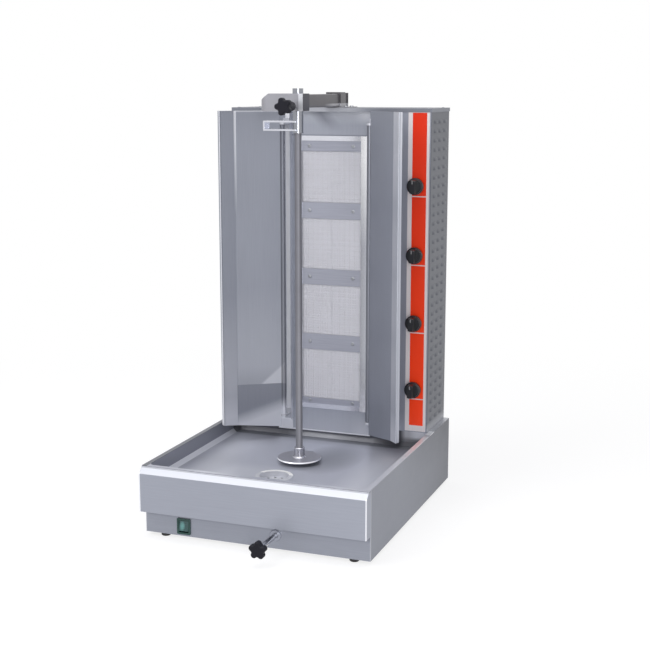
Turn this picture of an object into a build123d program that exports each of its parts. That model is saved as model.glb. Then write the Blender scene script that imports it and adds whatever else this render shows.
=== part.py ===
"""Gas vertical spit machine: drip-tray base, four-burner cabinet, wings, spit and top arm.

Millimetres, +Z up. The origin is where the spit's axis meets the counter, and +Y runs to the back.
"""
import os
from math import cos, radians, sin, sqrt

from build123d import *

# Overall sizes
base_width = 540
base_depth = 658
spit_setback = 295  # apron face to spit axis
foot_height = 9
rim_height = 169  # counter to the tray's rim
sheet = 1.5  # body panels
gap = 0.3  # running clearance of moving pieces
lift_gap = 0.5  # looseness of lift-out pieces

# Base front
apron_overhang = 29
apron_bottom = 65
bevel_depth = 15
bevel_height = 13.5
rim_width = 10
plinth_flange = 12

# Base plate
floor_slot_count = 5
floor_slot_length = 52
floor_slot_pitch = 12

# Feet
foot_diameter = 22
foot_inset_x = 42
foot_inset_y = 16
foot_chamfer = 1.8

# Drip tray
tray_depth = 42  # rim to tray floor
tray_corner = 14
tray_fold = 10  # sloped fold between wall and floor
collar_height = 5
drain_x = -10
drain_y = -130
drain_hole = 72
strainer_rim = 88
strainer_depth = 12
strainer_hole = 7
strainer_ring_counts = (6, 10)  # holes in each ring, inner ring first
cup_diameter = 92
cup_height = 80

# Power switch
switch_inset = 96  # base side to the switch's middle
switch_z = 32
switch_width = 33
switch_height = 37
switch_frame = 4.5
switch_proud = 3
switch_body_depth = 24
rocker_throw = 20  # degrees, off to on
rocker_lip = 5

# Spit carriage
slide_travel = 60
rail_diameter = 12
rail_spacing = 140
rail_z = 30
rail_clearance = 0.1
rail_block_wall = 4
carriage_length = 110
carriage_plate_thickness = 6
bearing_block = 26
gearbox_width = 96
gearbox_depth = 80
gearbox_height = 42
motor_diameter = 62
motor_length = 78
socket_diameter = 28
tower_wall = 6
shutter_thickness = 1.5
shutter_overlap = 10
rod_x = 50
rod_z = 40
rod_diameter = 12
rod_reach = 97  # plinth face to the middle of the knob's star
rod_neck = 7.7
rod_knob_turn = 90  # degrees, its first lobe
bush_flange = 26
star_diameter = 40
star_depth = 14.3
star_lobes = 5
star_lobe_radius = 6.8
star_valley = 5.6  # lobe tip down to the hollow between two lobes
star_bevel = 2.6
star_neck_diameter = 21

# Spit
spit_diameter = 16
spit_drive = 12  # square end in the socket
disc_diameter = 105
disc_thickness = 4
disc_height = 8  # tray floor to disc underside
hub_diameter = 26
hub_height = 24
spit_engagement = 17  # spit end inside the top bush
spit_tip = 10

# Cabinet
cabinet_inset = 13  # base side to cabinet side
cabinet_depth = 155
cabinet_rear_gap = 5
lid_lip = 9
cabinet_head = 67.5  # burner frame to the cabinet's top
slot_margin = 17
slot_columns = 3
slot_length = 26
slot_height = 4
slot_row_pitch = 22
slot_column_pitch = 42
back_slot_count = 5  # behind each burner
back_slot_length = 104
back_slot_pitch = 16

# Burners
burner_count = 4
burner_pitch = 165.5
burner_rise = 123.5  # tray rim to the lowest burner's middle
burner_recess = 13  # cabinet front to burner frame
plaque_width = 92
plaque_height = 132
plaque_depth = 13
frame_side = 19
frame_opening = 154
frame_rise = 100  # highest burner's middle to the frame's top
frame_drop = 89.5  # lowest burner's middle to the frame's foot
frame_margin = 8  # burner frame to a front panel
frame_head = 12
surround_foot = 15  # tray floor to the surround's lower edge
bar_height = 40
bar_overlap = 9
bar_screw_hole = 6
plenum_depth = 24
ledge = 6
housing_wall = 1.5
housing_flange = 3
mixer_diameter = 22
mixer_mouth = 32
mixer_length = 52
mesh_columns = 8
mesh_rows = 6
mesh_web = 2.5

# Gas train
knob_inset = 35  # cabinet side to knob axis
knob_drop = 15  # burner middle to knob axis
knob_diameter = 40
knob_length = 30
knob_skirt = 8
knob_crown = 32
knob_push = 4
knob_grip = 13
knob_grip_depth = 16.5
spindle_diameter = 8
spindle_hole = 14  # in the panel and its plates
valve_diameter = 26
valve_length = 44
manifold_diameter = 18
manifold_elbow = 22
feed_diameter = 8
injector_diameter = 12
injector_length = 18
injector_taper = 12
inlet_diameter = 21
inlet_reach = 14
inlet_hexagon = 31.5  # across its corners
inlet_hexagon_length = 5.6
gland_hexagon = 21
gland_hexagon_length = 7
gland_nose = 14
gland_reach = 10.5
gland_bore = 7
plate_width = 35
plate_thickness = 0.8
plate_inset = 28.5  # cabinet side to the plates' middle
plate_head = 10  # plates to the cabinet's top
plate_foot = 17  # tray rim to the plates
plate_break = 26  # knob axis down to a break between two plates
plate_gap = 2.5

# Wings
wing_hinge_inset = 8  # front panel's inner edge to hinge axis
wing_standoff = 26.5  # cabinet front to hinge axis
wing_main = 123.7
wing_main_angle = 44.8
wing_outer = 40.4
wing_outer_angle = 54.8
wing_return = 7  # flange along the outer edge
wing_head = 6  # cabinet's top above the wing's
wing_dip = 13  # inner lower corner below the tray rim
wing_bend_rise = 6  # lower edge above the tray rim, at the bend
wing_tip_rise = 13
barrel_diameter = 12
pin_diameter = 7.8
pin_length = 26
lug_thickness = 4.5
lug_radius = 8
lug_plate_height = 26
lug_margin = 34  # wing corner to the nearest lug

# Top arm
arm_width = 30
arm_height = 30
arm_wall = 2.5
arm_lift = 3  # cabinet top to arm underside
arm_overrun = 8  # guide's rear end to the arm's rear end
guide_setback = 13  # cabinet front to the guide
guide_length = 64
guide_wall = 4
guide_foot = 90
block_left = 88
block_right = 20
block_depth = 40
block_rise = 2  # block above the arm
block_drop = 7  # block below the arm
block_slope = 24  # sloped upper corner at the block's left end
block_slope_drop = 16
tube_diameter = 24.5
tube_bore = 20
tube_drop = 56.5  # arm underside to the tube's lower end
tube_length = 100
bush_length = 30
loop_reach = 80
loop_height = 22.5
loop_depth = 30
loop_thickness = 3.5
loop_rise = 5  # tube's lower end to the loop
clamp_drop = 11  # arm's middle to the clamp screw
clamp_screw = 8
clamp_reach = 86  # spit axis to the middle of the clamp knob's star
clamp_neck = 40
clamp_knob_turn = 180  # degrees, its first lobe

# Places that follow from the sizes above
half_width = base_width / 2
apron_y = -spit_setback
plinth_y = apron_y + apron_overhang
bevel_y = apron_y + bevel_depth
rear_y = apron_y + base_depth
shell_top = rim_height - sheet
apron_top = shell_top - bevel_height
base_floor = foot_height + sheet
tray_floor = rim_height - tray_depth
tray_under = tray_floor - sheet
plinth_top = tray_under - sheet
cabinet_half = half_width - cabinet_inset
cabinet_rear = rear_y - cabinet_rear_gap
cabinet_front = cabinet_rear - cabinet_depth
burner_y = cabinet_front + burner_recess
surround_y = burner_y + sheet
mesh_y = surround_y + sheet
flange_y = mesh_y + sheet
tray_front = bevel_y + rim_width
tray_rear = flange_y + 2 * sheet
deck_front = tray_rear + lift_gap
burner_heights = [rim_height + burner_rise + i * burner_pitch for i in range(burner_count)]
knob_heights = [z - knob_drop for z in burner_heights]
frame_top = burner_heights[-1] + frame_rise
frame_bottom = burner_heights[0] - frame_drop
frame_width = frame_opening + 2 * frame_side
opening_half = frame_width / 2 + frame_margin
cabinet_top = frame_top + cabinet_head
cabinet_under_lid = cabinet_top - sheet
panel_height = cabinet_under_lid - rim_height
surround_bottom = tray_floor + surround_foot
switch_x = -half_width + switch_inset
knob_x = cabinet_half - knob_inset
plate_x = cabinet_half - plate_inset
disc_under = tray_floor + disc_height
wing_hinge_x = opening_half + wing_hinge_inset
wing_hinge_y = cabinet_front - wing_standoff
wing_top = cabinet_top - wing_head
wing_low_inner = rim_height - wing_dip
arm_under = cabinet_top + arm_lift
arm_middle = arm_under + arm_height / 2
guide_front = cabinet_front + guide_setback
arm_rear = guide_front + guide_length + arm_overrun
clamp_z = arm_middle - clamp_drop
tube_bottom = arm_under - tube_drop
tube_inner_top = tube_bottom + spit_engagement


def bent_sheet(plane, points, side, thickness=sheet):
    """Section of a sheet bent along the given points, thickened to one side."""
    with BuildSketch(plane) as section:
        with BuildLine():
            Polyline(*points)
            offset(amount=thickness, side=side)
        make_face()
    return section.sketch


def save(piece, name):
    """Label a finished piece and write it as its own file."""
    piece.part.label = name
    export_step(piece.part, f"parts/{name}.step")


os.makedirs("parts", exist_ok=True)

# Base shell: sides, rear wall, rim and rear deck in one folded sheet
shell_depth = rear_y - plinth_y
shell_middle = (plinth_y + rear_y) / 2
with BuildPart() as base_shell:
    with BuildSketch(Plane.XY.offset(foot_height)):
        with Locations((0, shell_middle)):
            Rectangle(base_width, shell_depth)
        with Locations((0, shell_middle - sheet)):
            Rectangle(base_width - 2 * sheet, shell_depth, mode=Mode.SUBTRACT)
    extrude(amount=rim_height - foot_height)
    with BuildSketch(Plane.XY.offset(rim_height - 2 * sheet)):
        with Locations((0, shell_middle)):
            Rectangle(base_width, shell_depth)
        with Locations((0, (plinth_y + deck_front) / 2)):
            Rectangle(base_width - 2 * rim_width, deck_front - plinth_y, mode=Mode.SUBTRACT)
    extrude(amount=2 * sheet)
    with BuildSketch(Plane.XY.offset(shell_top)):
        with Locations((0, (plinth_y + deck_front) / 2)):
            Rectangle(base_width, deck_front - plinth_y)
    extrude(amount=sheet, mode=Mode.SUBTRACT)
save(base_shell, "base_shell")

# Plinth panel, set back under the apron, with the switch and rod openings
with BuildPart() as plinth_panel:
    plinth_bend = [(plinth_y, foot_height), (plinth_y, plinth_top), (plinth_y + plinth_flange, plinth_top)]
    extrude(bent_sheet(Plane.YZ, plinth_bend, Side.RIGHT), amount=half_width - sheet, both=True)
    with BuildSketch(Plane.XZ.offset(-plinth_y)):
        with Locations((switch_x, switch_z)):
            Rectangle(switch_width - switch_frame, switch_height - switch_frame)
        with Locations((rod_x, rod_z)):
            Circle(rod_diameter / 2 + sheet + lift_gap)
    extrude(amount=-2 * sheet, mode=Mode.SUBTRACT)
save(plinth_panel, "plinth_panel")

# Front apron: bent sheet with a bevelled top edge and closed ends
apron_bend = [
    (plinth_y, apron_bottom),
    (apron_y, apron_bottom),
    (apron_y, apron_top),
    (bevel_y, shell_top),
    (tray_front - sheet, shell_top),
]
with BuildPart() as front_apron:
    extrude(bent_sheet(Plane.YZ, apron_bend, Side.RIGHT), amount=half_width, both=True)
    for end_x in (-half_width, half_width - sheet):
        with BuildSketch(Plane.YZ.offset(end_x)):
            Polygon(*apron_bend[:4], (plinth_y, shell_top), align=None)
        extrude(amount=sheet)
save(front_apron, "front_apron")

# Base plate with cooling slots under the motor
with BuildPart() as base_plate:
    with BuildSketch(Plane.XY.offset(foot_height)):
        with Locations((0, shell_middle)):
            Rectangle(base_width - 2 * sheet, shell_depth - 2 * sheet)
        with Locations((0, slide_travel / 2)):
            with GridLocations(0, floor_slot_pitch, 1, floor_slot_count):
                Rectangle(floor_slot_length, slot_height, mode=Mode.SUBTRACT)
    extrude(amount=sheet)
save(base_plate, "base_plate")

# Feet: four tapered rubber pads under the base plate
with BuildPart() as feet:
    foot_front = plinth_y + foot_inset_y
    foot_back = rear_y - foot_inset_y
    with BuildSketch(Plane.XY):
        with Locations((0, (foot_front + foot_back) / 2)):
            with GridLocations(base_width - 2 * foot_inset_x, foot_back - foot_front, 2, 2):
                Circle(foot_diameter / 2)
    extrude(amount=foot_height)
    chamfer(feet.edges().group_by(Axis.Z)[0], foot_chamfer)
save(feet, "feet")

# Drip tray: pan with folded lower edges, a flange on three sides, a collared slot and a drain
tray_width = base_width - 2 * rim_width - 2 * lift_gap
tray_length = tray_rear - tray_front
tray_middle = (tray_front + tray_rear) / 2
slot_width = socket_diameter + 4 * lift_gap
with BuildPart() as tray_hollow:
    with BuildSketch(Plane.XY.offset(tray_floor)):
        with Locations((0, tray_middle)):
            RectangleRounded(tray_width - 2 * sheet, tray_length - 2 * sheet, tray_corner - sheet)
    extrude(amount=tray_depth)
    chamfer(tray_hollow.edges().group_by(Axis.Z)[0], tray_fold - sheet * (2 - sqrt(2)))
with BuildPart() as drip_tray:
    with BuildSketch(Plane.XY.offset(tray_under)):
        with Locations((0, tray_middle)):
            RectangleRounded(tray_width, tray_length, tray_corner)
    extrude(amount=rim_height - tray_under)
    chamfer(drip_tray.edges().group_by(Axis.Z)[0], tray_fold)
    with BuildSketch(Plane.XY.offset(shell_top)):
        with Locations((0, (bevel_y + tray_rear) / 2)):
            Rectangle(base_width, tray_rear - bevel_y)
    extrude(amount=sheet)
    add(tray_hollow.part, mode=Mode.SUBTRACT)
    with BuildSketch(Plane.XY.offset(tray_floor)):
        with Locations((0, slide_travel / 2)):
            SlotCenterToCenter(slide_travel, slot_width + 2 * sheet, rotation=90)
    extrude(amount=collar_height)
    with BuildSketch(Plane.XY.offset(tray_under)):
        with Locations((0, slide_travel / 2)):
            SlotCenterToCenter(slide_travel, slot_width, rotation=90)
        with Locations((drain_x, drain_y)):
            Circle(drain_hole / 2)
    extrude(amount=tray_depth, mode=Mode.SUBTRACT)
save(drip_tray, "drip_tray")

# Drain strainer: rimmed cup with two rings of holes, dropped into the tray's drain
strainer_cup = drain_hole / 2 - lift_gap
strainer_ring_pitch = (strainer_cup - sheet - strainer_hole) / len(strainer_ring_counts)
with BuildPart() as drain_strainer:
    with BuildSketch(Plane.XY.offset(tray_floor)):
        with Locations((drain_x, drain_y)):
            Circle(strainer_rim / 2)
    extrude(amount=2 * sheet)
    with BuildSketch(Plane.XY.offset(tray_floor - strainer_depth)):
        with Locations((drain_x, drain_y)):
            Circle(strainer_cup)
    extrude(amount=strainer_depth)
    with BuildSketch(Plane.XY.offset(tray_floor - strainer_depth + sheet)):
        with Locations((drain_x, drain_y)):
            Circle(strainer_cup - sheet)
    extrude(amount=strainer_depth + 2 * sheet, mode=Mode.SUBTRACT)
    with BuildSketch(Plane.XY.offset(tray_floor - strainer_depth)):
        with Locations((drain_x, drain_y)):
            Circle(strainer_hole / 2)
            for ring, count in enumerate(strainer_ring_counts, start=1):
                with PolarLocations(ring * strainer_ring_pitch, count):
                    Circle(strainer_hole / 2)
    extrude(amount=sheet, mode=Mode.SUBTRACT)
    chamfer(drain_strainer.edges().group_by(Axis.Z)[-1].sort_by(SortBy.RADIUS)[-1], sheet)
save(drain_strainer, "drain_strainer")

# Grease cup standing on the base plate under the drain
with BuildPart() as grease_cup:
    with BuildSketch(Plane.XY.offset(base_floor)):
        with Locations((drain_x, drain_y)):
            Circle(cup_diameter / 2)
    extrude(amount=cup_height)
    offset(amount=-sheet, openings=grease_cup.faces().sort_by(Axis.Z)[-1])
save(grease_cup, "grease_cup")

# Power switch: bezel with a plug-in body, and the rocker that tilts in it
switch_plane = Plane.XZ.offset(-plinth_y)
switch_pocket = (switch_width - 2 * switch_frame, switch_height - 2 * switch_frame)
switch_body = (switch_width - switch_frame - 2 * lift_gap, switch_height - switch_frame - 2 * lift_gap)
with BuildPart() as switch_bezel:
    with BuildSketch(switch_plane):
        with Locations((switch_x, switch_z)):
            RectangleRounded(switch_width, switch_height, switch_frame / 2)
    extrude(amount=switch_proud)
    with BuildSketch(switch_plane):
        with Locations((switch_x, switch_z)):
            Rectangle(*switch_body)
    extrude(amount=-switch_body_depth)
    with BuildSketch(switch_plane.offset(switch_proud)):
        with Locations((switch_x, switch_z)):
            Rectangle(*switch_pocket)
    extrude(amount=-switch_proud - switch_body_depth + 2 * sheet, mode=Mode.SUBTRACT)
    with BuildSketch(Plane.YZ.offset(switch_x - switch_pocket[0] / 2)):
        with Locations((plinth_y + rocker_lip, switch_z)):
            Circle(rocker_lip / 2)
    extrude(amount=switch_pocket[0])
save(switch_bezel, "switch_bezel")

rocker_end = switch_pocket[1] / 2 - 2 * lift_gap - sheet
rocker_tilt = radians(-rocker_throw / 2)
rocker_plane = Plane(
    origin=(switch_x, plinth_y + rocker_lip, switch_z),
    x_dir=(0, cos(rocker_tilt), sin(rocker_tilt)),
    z_dir=(1, 0, 0),
)
rocker_rise = switch_proud + rocker_lip
with BuildPart() as switch_rocker:
    with BuildSketch(rocker_plane):
        with BuildLine():
            dish = ThreePointArc(
                (-rocker_rise, rocker_end),
                (-rocker_lip - sheet, 0),
                (-rocker_rise, -rocker_end),
            )
            Polyline(dish @ 1, (0, -rocker_end), (rocker_lip, 0), (0, rocker_end), dish @ 0)
        make_face()
        Circle(rocker_lip / 2 + gap, mode=Mode.SUBTRACT)
    extrude(amount=switch_pocket[0] / 2 - lift_gap, both=True)
save(switch_rocker, "switch_rocker")

# Slide rails: two round rails on end blocks, along the spit's travel
carriage_half = carriage_length / 2
rail_front = -carriage_half - bearing_block
rail_back = carriage_half + slide_travel + bearing_block
rail_block = rail_diameter + 2 * rail_block_wall
with BuildPart() as slide_rails:
    with BuildSketch(Plane.XZ.offset(-rail_front)):
        with Locations((0, rail_z)):
            with GridLocations(rail_spacing, 0, 2, 1):
                Circle(rail_diameter / 2)
    extrude(amount=rail_front - rail_back)
    with BuildSketch(Plane.XY.offset(base_floor)):
        with Locations((0, (rail_front + rail_back) / 2)):
            with GridLocations(rail_spacing, rail_back - rail_front + rail_block - 2 * sheet, 2, 2):
                Rectangle(rail_block, rail_block)
    extrude(amount=rail_z + rail_diameter / 2 + sheet - base_floor)
save(slide_rails, "slide_rails")

# Carriage plate on four bored bearing blocks, with the rod's lug at its front edge
carriage_under = rail_z + bearing_block / 2
carriage_over = carriage_under + carriage_plate_thickness
carriage_width = rail_spacing + bearing_block
lug_low = rod_z - rod_diameter
with BuildPart() as carriage_plate:
    with BuildSketch(Plane.XY.offset(carriage_under)):
        Rectangle(carriage_width, carriage_length)
    extrude(amount=carriage_plate_thickness)
    with BuildSketch(Plane.XY.offset(rail_z - bearing_block / 2 + 2 * sheet)):
        with GridLocations(rail_spacing, carriage_length - bearing_block, 2, 2):
            Rectangle(bearing_block, bearing_block)
    extrude(amount=bearing_block - 2 * sheet)
    with BuildSketch(Plane.XY.offset(lug_low)):
        with Locations((rod_x, -carriage_half + rod_diameter / 2)):
            Rectangle(2 * rod_diameter, rod_diameter)
    extrude(amount=carriage_over - lug_low)
    with BuildSketch(Plane.XZ.offset(carriage_half)):
        with Locations((0, rail_z)):
            with GridLocations(rail_spacing, 0, 2, 1):
                Circle(rail_diameter / 2 + rail_clearance)
        with Locations((rod_x, rod_z)):
            Circle(rod_diameter / 2 - sheet)
    extrude(amount=-carriage_length, mode=Mode.SUBTRACT)
save(carriage_plate, "carriage_plate")

# Gear motor: gearbox with a bearing tower, and the motor lying to the left
gearbox_top = carriage_over + gearbox_height
tower_top = tray_under - gap - shutter_thickness
tower_diameter = socket_diameter + 2 * gap + 2 * tower_wall
motor_z = carriage_over + motor_diameter / 2
socket_seat = gearbox_top - gearbox_height / 2
with BuildPart() as gear_motor:
    with BuildSketch(Plane.XY.offset(carriage_over)):
        RectangleRounded(gearbox_width, gearbox_depth, tower_wall)
    extrude(amount=gearbox_height)
    chamfer(gear_motor.faces().sort_by(Axis.Z)[-1].edges(), sheet)
    with BuildSketch(Plane.XY.offset(carriage_over)):
        Circle(tower_diameter / 2)
    extrude(amount=tower_top - carriage_over)
    with BuildSketch(Plane.YZ.offset(-gearbox_width / 2)):
        with Locations((0, motor_z)):
            Circle(motor_diameter / 2)
    extrude(amount=-motor_length)
    chamfer(gear_motor.faces().sort_by(Axis.X)[0].edges(), 2 * sheet)
    with BuildSketch(Plane.XY.offset(socket_seat)):
        Circle(socket_diameter / 2 + gap)
    extrude(amount=tower_top - socket_seat, mode=Mode.SUBTRACT)
save(gear_motor, "gear_motor")

# Drive socket turning in the tower, with a square hole for the spit
socket_top = disc_under - gap
socket_floor = socket_seat + 2 * tower_wall
with BuildPart() as drive_socket:
    with BuildSketch(Plane.XY.offset(socket_seat + gap)):
        Circle(socket_diameter / 2)
    extrude(amount=socket_top - socket_seat - gap)
    with BuildSketch(Plane.XY.offset(socket_floor)):
        Rectangle(spit_drive + 2 * rail_clearance, spit_drive + 2 * rail_clearance)
    extrude(amount=socket_top - socket_floor, mode=Mode.SUBTRACT)
save(drive_socket, "drive_socket")

# Slot shutter: keeps fat off the motor wherever the carriage stands
shutter_half = slide_travel + slot_width
with BuildPart() as slot_shutter:
    with BuildSketch(Plane.XY.offset(tower_top)):
        Rectangle(slot_width + 2 * shutter_overlap, 2 * shutter_half)
        Circle(socket_diameter / 2 + gap, mode=Mode.SUBTRACT)
    extrude(amount=shutter_thickness)
save(slot_shutter, "slot_shutter")

# Adjusting rod, its bush in the plinth, and the star knob on its end
knob_middle_y = plinth_y - rod_reach
rod_front = knob_middle_y
with BuildPart() as adjust_rod:
    with BuildSketch(Plane.XZ.offset(carriage_half)):
        with Locations((rod_x, rod_z)):
            Circle(rod_diameter / 2)
    extrude(amount=-carriage_half - rod_front)
    with BuildSketch(Plane.XZ.offset(carriage_half)):
        with Locations((rod_x, rod_z)):
            Circle(rod_diameter / 2 - sheet)
    extrude(amount=-rod_diameter)
save(adjust_rod, "adjust_rod")

with BuildPart() as rod_bush:
    with BuildSketch(Plane.XZ.offset(-plinth_y)):
        with Locations((rod_x, rod_z)):
            Circle(bush_flange / 2)
    extrude(amount=2 * sheet)
    with BuildSketch(Plane.XZ.offset(-plinth_y)):
        with Locations((rod_x, rod_z)):
            Circle(rod_diameter / 2 + sheet + lift_gap - rail_clearance)
    extrude(amount=-rod_diameter)
    with BuildSketch(Plane.XZ.offset(-plinth_y + 2 * sheet)):
        with Locations((rod_x, rod_z)):
            Circle(rod_diameter / 2 + gap)
    extrude(amount=-rod_diameter - 2 * sheet, mode=Mode.SUBTRACT)
    chamfer(rod_bush.faces().sort_by(Axis.Y)[0].outer_wire().edges(), sheet)
save(rod_bush, "rod_bush")


def star_knob(x, middle_y, z, shaft_diameter, neck, turn):
    """Five-lobed hand knob facing the front, bored from behind for its shaft."""
    back = Plane.XZ.offset(-middle_y - neck - star_depth / 2)
    with BuildPart() as knob:
        with BuildSketch(back.offset(neck)) as star:
            with Locations((x, z)):
                Circle(star_diameter / 2 - star_valley)
                with PolarLocations(star_diameter / 2 - star_lobe_radius, star_lobes, start_angle=turn):
                    Circle(star_lobe_radius)
            fillet(star.vertices(), star_lobe_radius / 2)
        extrude(amount=star_depth)
        chamfer(knob.faces().sort_by(Axis.Y)[0].edges(), star_bevel)
        with BuildSketch(back):
            with Locations((x, z)):
                Circle(star_neck_diameter / 2)
        extrude(amount=neck)
        with BuildSketch(back):
            with Locations((x, z)):
                Circle(shaft_diameter / 2)
        extrude(amount=neck + star_depth / 2, mode=Mode.SUBTRACT)
    return knob


adjust_knob = star_knob(rod_x, knob_middle_y, rod_z, rod_diameter, rod_neck, rod_knob_turn)
save(adjust_knob, "adjust_knob")

# Spit shaft: square drive end, round shaft, short journal at the top
spit_square_bottom = socket_floor + gap
with BuildPart() as spit_shaft:
    with BuildSketch(Plane.XY.offset(spit_square_bottom)):
        Rectangle(spit_drive, spit_drive)
    extrude(amount=disc_under - spit_square_bottom)
    with BuildSketch(Plane.XY.offset(disc_under)):
        Circle(spit_diameter / 2)
    extrude(amount=tube_inner_top - disc_under)
    chamfer(spit_shaft.faces().sort_by(Axis.Z)[-1].edges(), (spit_diameter - spit_tip) / 2)
save(spit_shaft, "spit_shaft")

# Spit disc: plate with a tapered hub around the shaft
with BuildPart() as spit_disc:
    with BuildSketch(Plane.XZ):
        with BuildLine():
            Polyline(
                (spit_diameter / 2, disc_under),
                (disc_diameter / 2 - sheet, disc_under),
                (disc_diameter / 2, disc_under + sheet),
                (disc_diameter / 2 - sheet, disc_under + disc_thickness),
                (hub_diameter / 2 + 2 * sheet, disc_under + disc_thickness),
                (hub_diameter / 2, disc_under + disc_thickness + 2 * sheet),
                (hub_diameter / 2, disc_under + disc_thickness + hub_height - sheet),
                (hub_diameter / 2 - sheet, disc_under + disc_thickness + hub_height),
                (spit_diameter / 2, disc_under + disc_thickness + hub_height),
                close=True,
            )
        make_face()
    revolve(axis=Axis.Z)
save(spit_disc, "spit_disc")

# Cabinet sides with rows of air slots, standing on the rear deck and over the tray's edge
side_middle_y = (cabinet_front + cabinet_rear) / 2
side_middle_z = (rim_height + cabinet_under_lid) / 2
slot_rows = int((panel_height - 2 * slot_margin) / slot_row_pitch)
side_places = {"cabinet_left_side": -cabinet_half, "cabinet_right_side": cabinet_half - sheet}
for side_name, side_x in side_places.items():
    with BuildPart() as cabinet_side:
        with BuildSketch(Plane.YZ.offset(side_x)):
            with Locations((side_middle_y, side_middle_z)):
                Rectangle(cabinet_depth, panel_height)
                with GridLocations(slot_column_pitch, slot_row_pitch, slot_columns, slot_rows):
                    Rectangle(slot_length, slot_height, mode=Mode.SUBTRACT)
        extrude(amount=sheet)
    save(cabinet_side, side_name)

# Cabinet back with a bank of air slots behind each burner and the gas inlet's hole
inlet_z = knob_heights[0] - valve_diameter / 2 - manifold_elbow
inner_half = cabinet_half - sheet
with BuildPart() as cabinet_back:
    with BuildSketch(Plane.XZ.offset(-cabinet_rear)):
        with Locations((0, side_middle_z)):
            Rectangle(2 * inner_half, panel_height)
        for height in burner_heights:
            with Locations((0, height)):
                with GridLocations(0, back_slot_pitch, 1, back_slot_count):
                    Rectangle(back_slot_length, slot_height, mode=Mode.SUBTRACT)
        with Locations((knob_x, inlet_z)):
            Circle(inlet_diameter / 2 + lift_gap, mode=Mode.SUBTRACT)
    extrude(amount=sheet)
save(cabinet_back, "cabinet_back")

# Cabinet top: lid with a lip turned down all round
with BuildPart() as cabinet_lid:
    with BuildSketch(Plane.XY.offset(cabinet_top - lid_lip)):
        with Locations((0, side_middle_y)):
            Rectangle(2 * cabinet_half + 2 * sheet, cabinet_depth + 2 * sheet)
    extrude(amount=lid_lip)
    with BuildSketch(Plane.XY.offset(cabinet_top - lid_lip)):
        with Locations((0, side_middle_y)):
            Rectangle(2 * cabinet_half, cabinet_depth)
    extrude(amount=lid_lip - sheet, mode=Mode.SUBTRACT)
save(cabinet_lid, "cabinet_top")

# Front panels beside the burners: control panel on the right, plain panel on the left
return_y = surround_y
panel_foot_y = deck_front + rim_width
for panel_name, mirrored in (("left_front_panel", -1), ("control_panel", 1)):
    panel_bend = [(mirrored * inner_half, cabinet_front), (mirrored * opening_half, cabinet_front)]
    panel_bend.append((mirrored * opening_half, return_y))
    with BuildPart() as front_panel:
        side = Side.LEFT if mirrored == -1 else Side.RIGHT
        extrude(bent_sheet(Plane.XY.offset(rim_height), panel_bend, side), amount=panel_height)
        with BuildSketch(Plane.XY.offset(rim_height)):
            foot_middle = mirrored * (inner_half + opening_half) / 2
            with Locations((foot_middle, (cabinet_front + panel_foot_y) / 2)):
                Rectangle(inner_half - opening_half, panel_foot_y - cabinet_front)
        extrude(amount=sheet)
        if mirrored == 1:
            with BuildSketch(Plane.XZ.offset(-cabinet_front)):
                for height in knob_heights:
                    with Locations((knob_x, height)):
                        Circle(spindle_hole / 2)
            extrude(amount=-sheet, mode=Mode.SUBTRACT)
    save(front_panel, panel_name)

# Orange plates on the control panel, one for each knob and a short one at the foot
plate_low = rim_height + plate_foot - plate_gap
plate_high = cabinet_top - plate_head
plate_breaks = [plate_low] + [z - plate_break for z in knob_heights] + [plate_high]
with BuildPart() as control_plates:
    with BuildSketch(Plane.XZ.offset(-cabinet_front)):
        for low, high in zip(plate_breaks[:-1], plate_breaks[1:]):
            with Locations((plate_x, (low + plate_gap + high) / 2)):
                Rectangle(plate_width, high - low - plate_gap)
        for height in knob_heights:
            with Locations((knob_x, height)):
                Circle(spindle_hole / 2, mode=Mode.SUBTRACT)
    extrude(amount=plate_thickness)
save(control_plates, "control_plates")

# Burner surround: one sheet behind the frame, with the panels above and below the burners
bar_length = frame_opening + 2 * bar_overlap
surround_opening = bar_length + 4 * lift_gap
with BuildPart() as burner_surround:
    with BuildSketch(Plane.XZ.offset(-surround_y)):
        with Locations((0, (surround_bottom + cabinet_under_lid) / 2)):
            Rectangle(2 * opening_half, cabinet_under_lid - surround_bottom)
        with Locations((0, (frame_bottom + frame_top) / 2)):
            Rectangle(surround_opening, frame_top - frame_bottom - 2 * frame_head, mode=Mode.SUBTRACT)
    extrude(amount=-sheet)
save(burner_surround, "burner_surround")

# Burner frame: bright border standing in front of the surround
frame_middle = (frame_bottom + frame_top) / 2
frame_height = frame_top - frame_bottom
with BuildPart() as burner_frame:
    with BuildSketch(Plane.XZ.offset(-burner_y)):
        with Locations((0, frame_middle)):
            Rectangle(frame_width, frame_height)
            Rectangle(frame_opening, frame_height - 2 * frame_head, mode=Mode.SUBTRACT)
    extrude(amount=-sheet)
save(burner_frame, "burner_frame")

# Cross bars between the burners, behind the frame's edges, each with two screw holes
bar_heights = [z + burner_pitch / 2 for z in burner_heights[:-1]]
bar_edges = [(z - bar_height / 2, z + bar_height / 2) for z in bar_heights]
bar_edges.append((frame_bottom + frame_head, burner_heights[0] - burner_pitch / 2 + bar_height / 2))
bar_edges.append((burner_heights[-1] + burner_pitch / 2 - bar_height / 2, frame_top - frame_head))
with BuildPart() as burner_bars:
    with BuildSketch(Plane.XZ.offset(-surround_y)):
        for low, high in bar_edges:
            with Locations((0, (low + high) / 2)):
                Rectangle(bar_length, high - low)
                with GridLocations(frame_opening - bar_height, 0, 2, 1):
                    Circle(bar_screw_hole / 2, mode=Mode.SUBTRACT)
    extrude(amount=-sheet)
save(burner_bars, "burner_bars")

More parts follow.
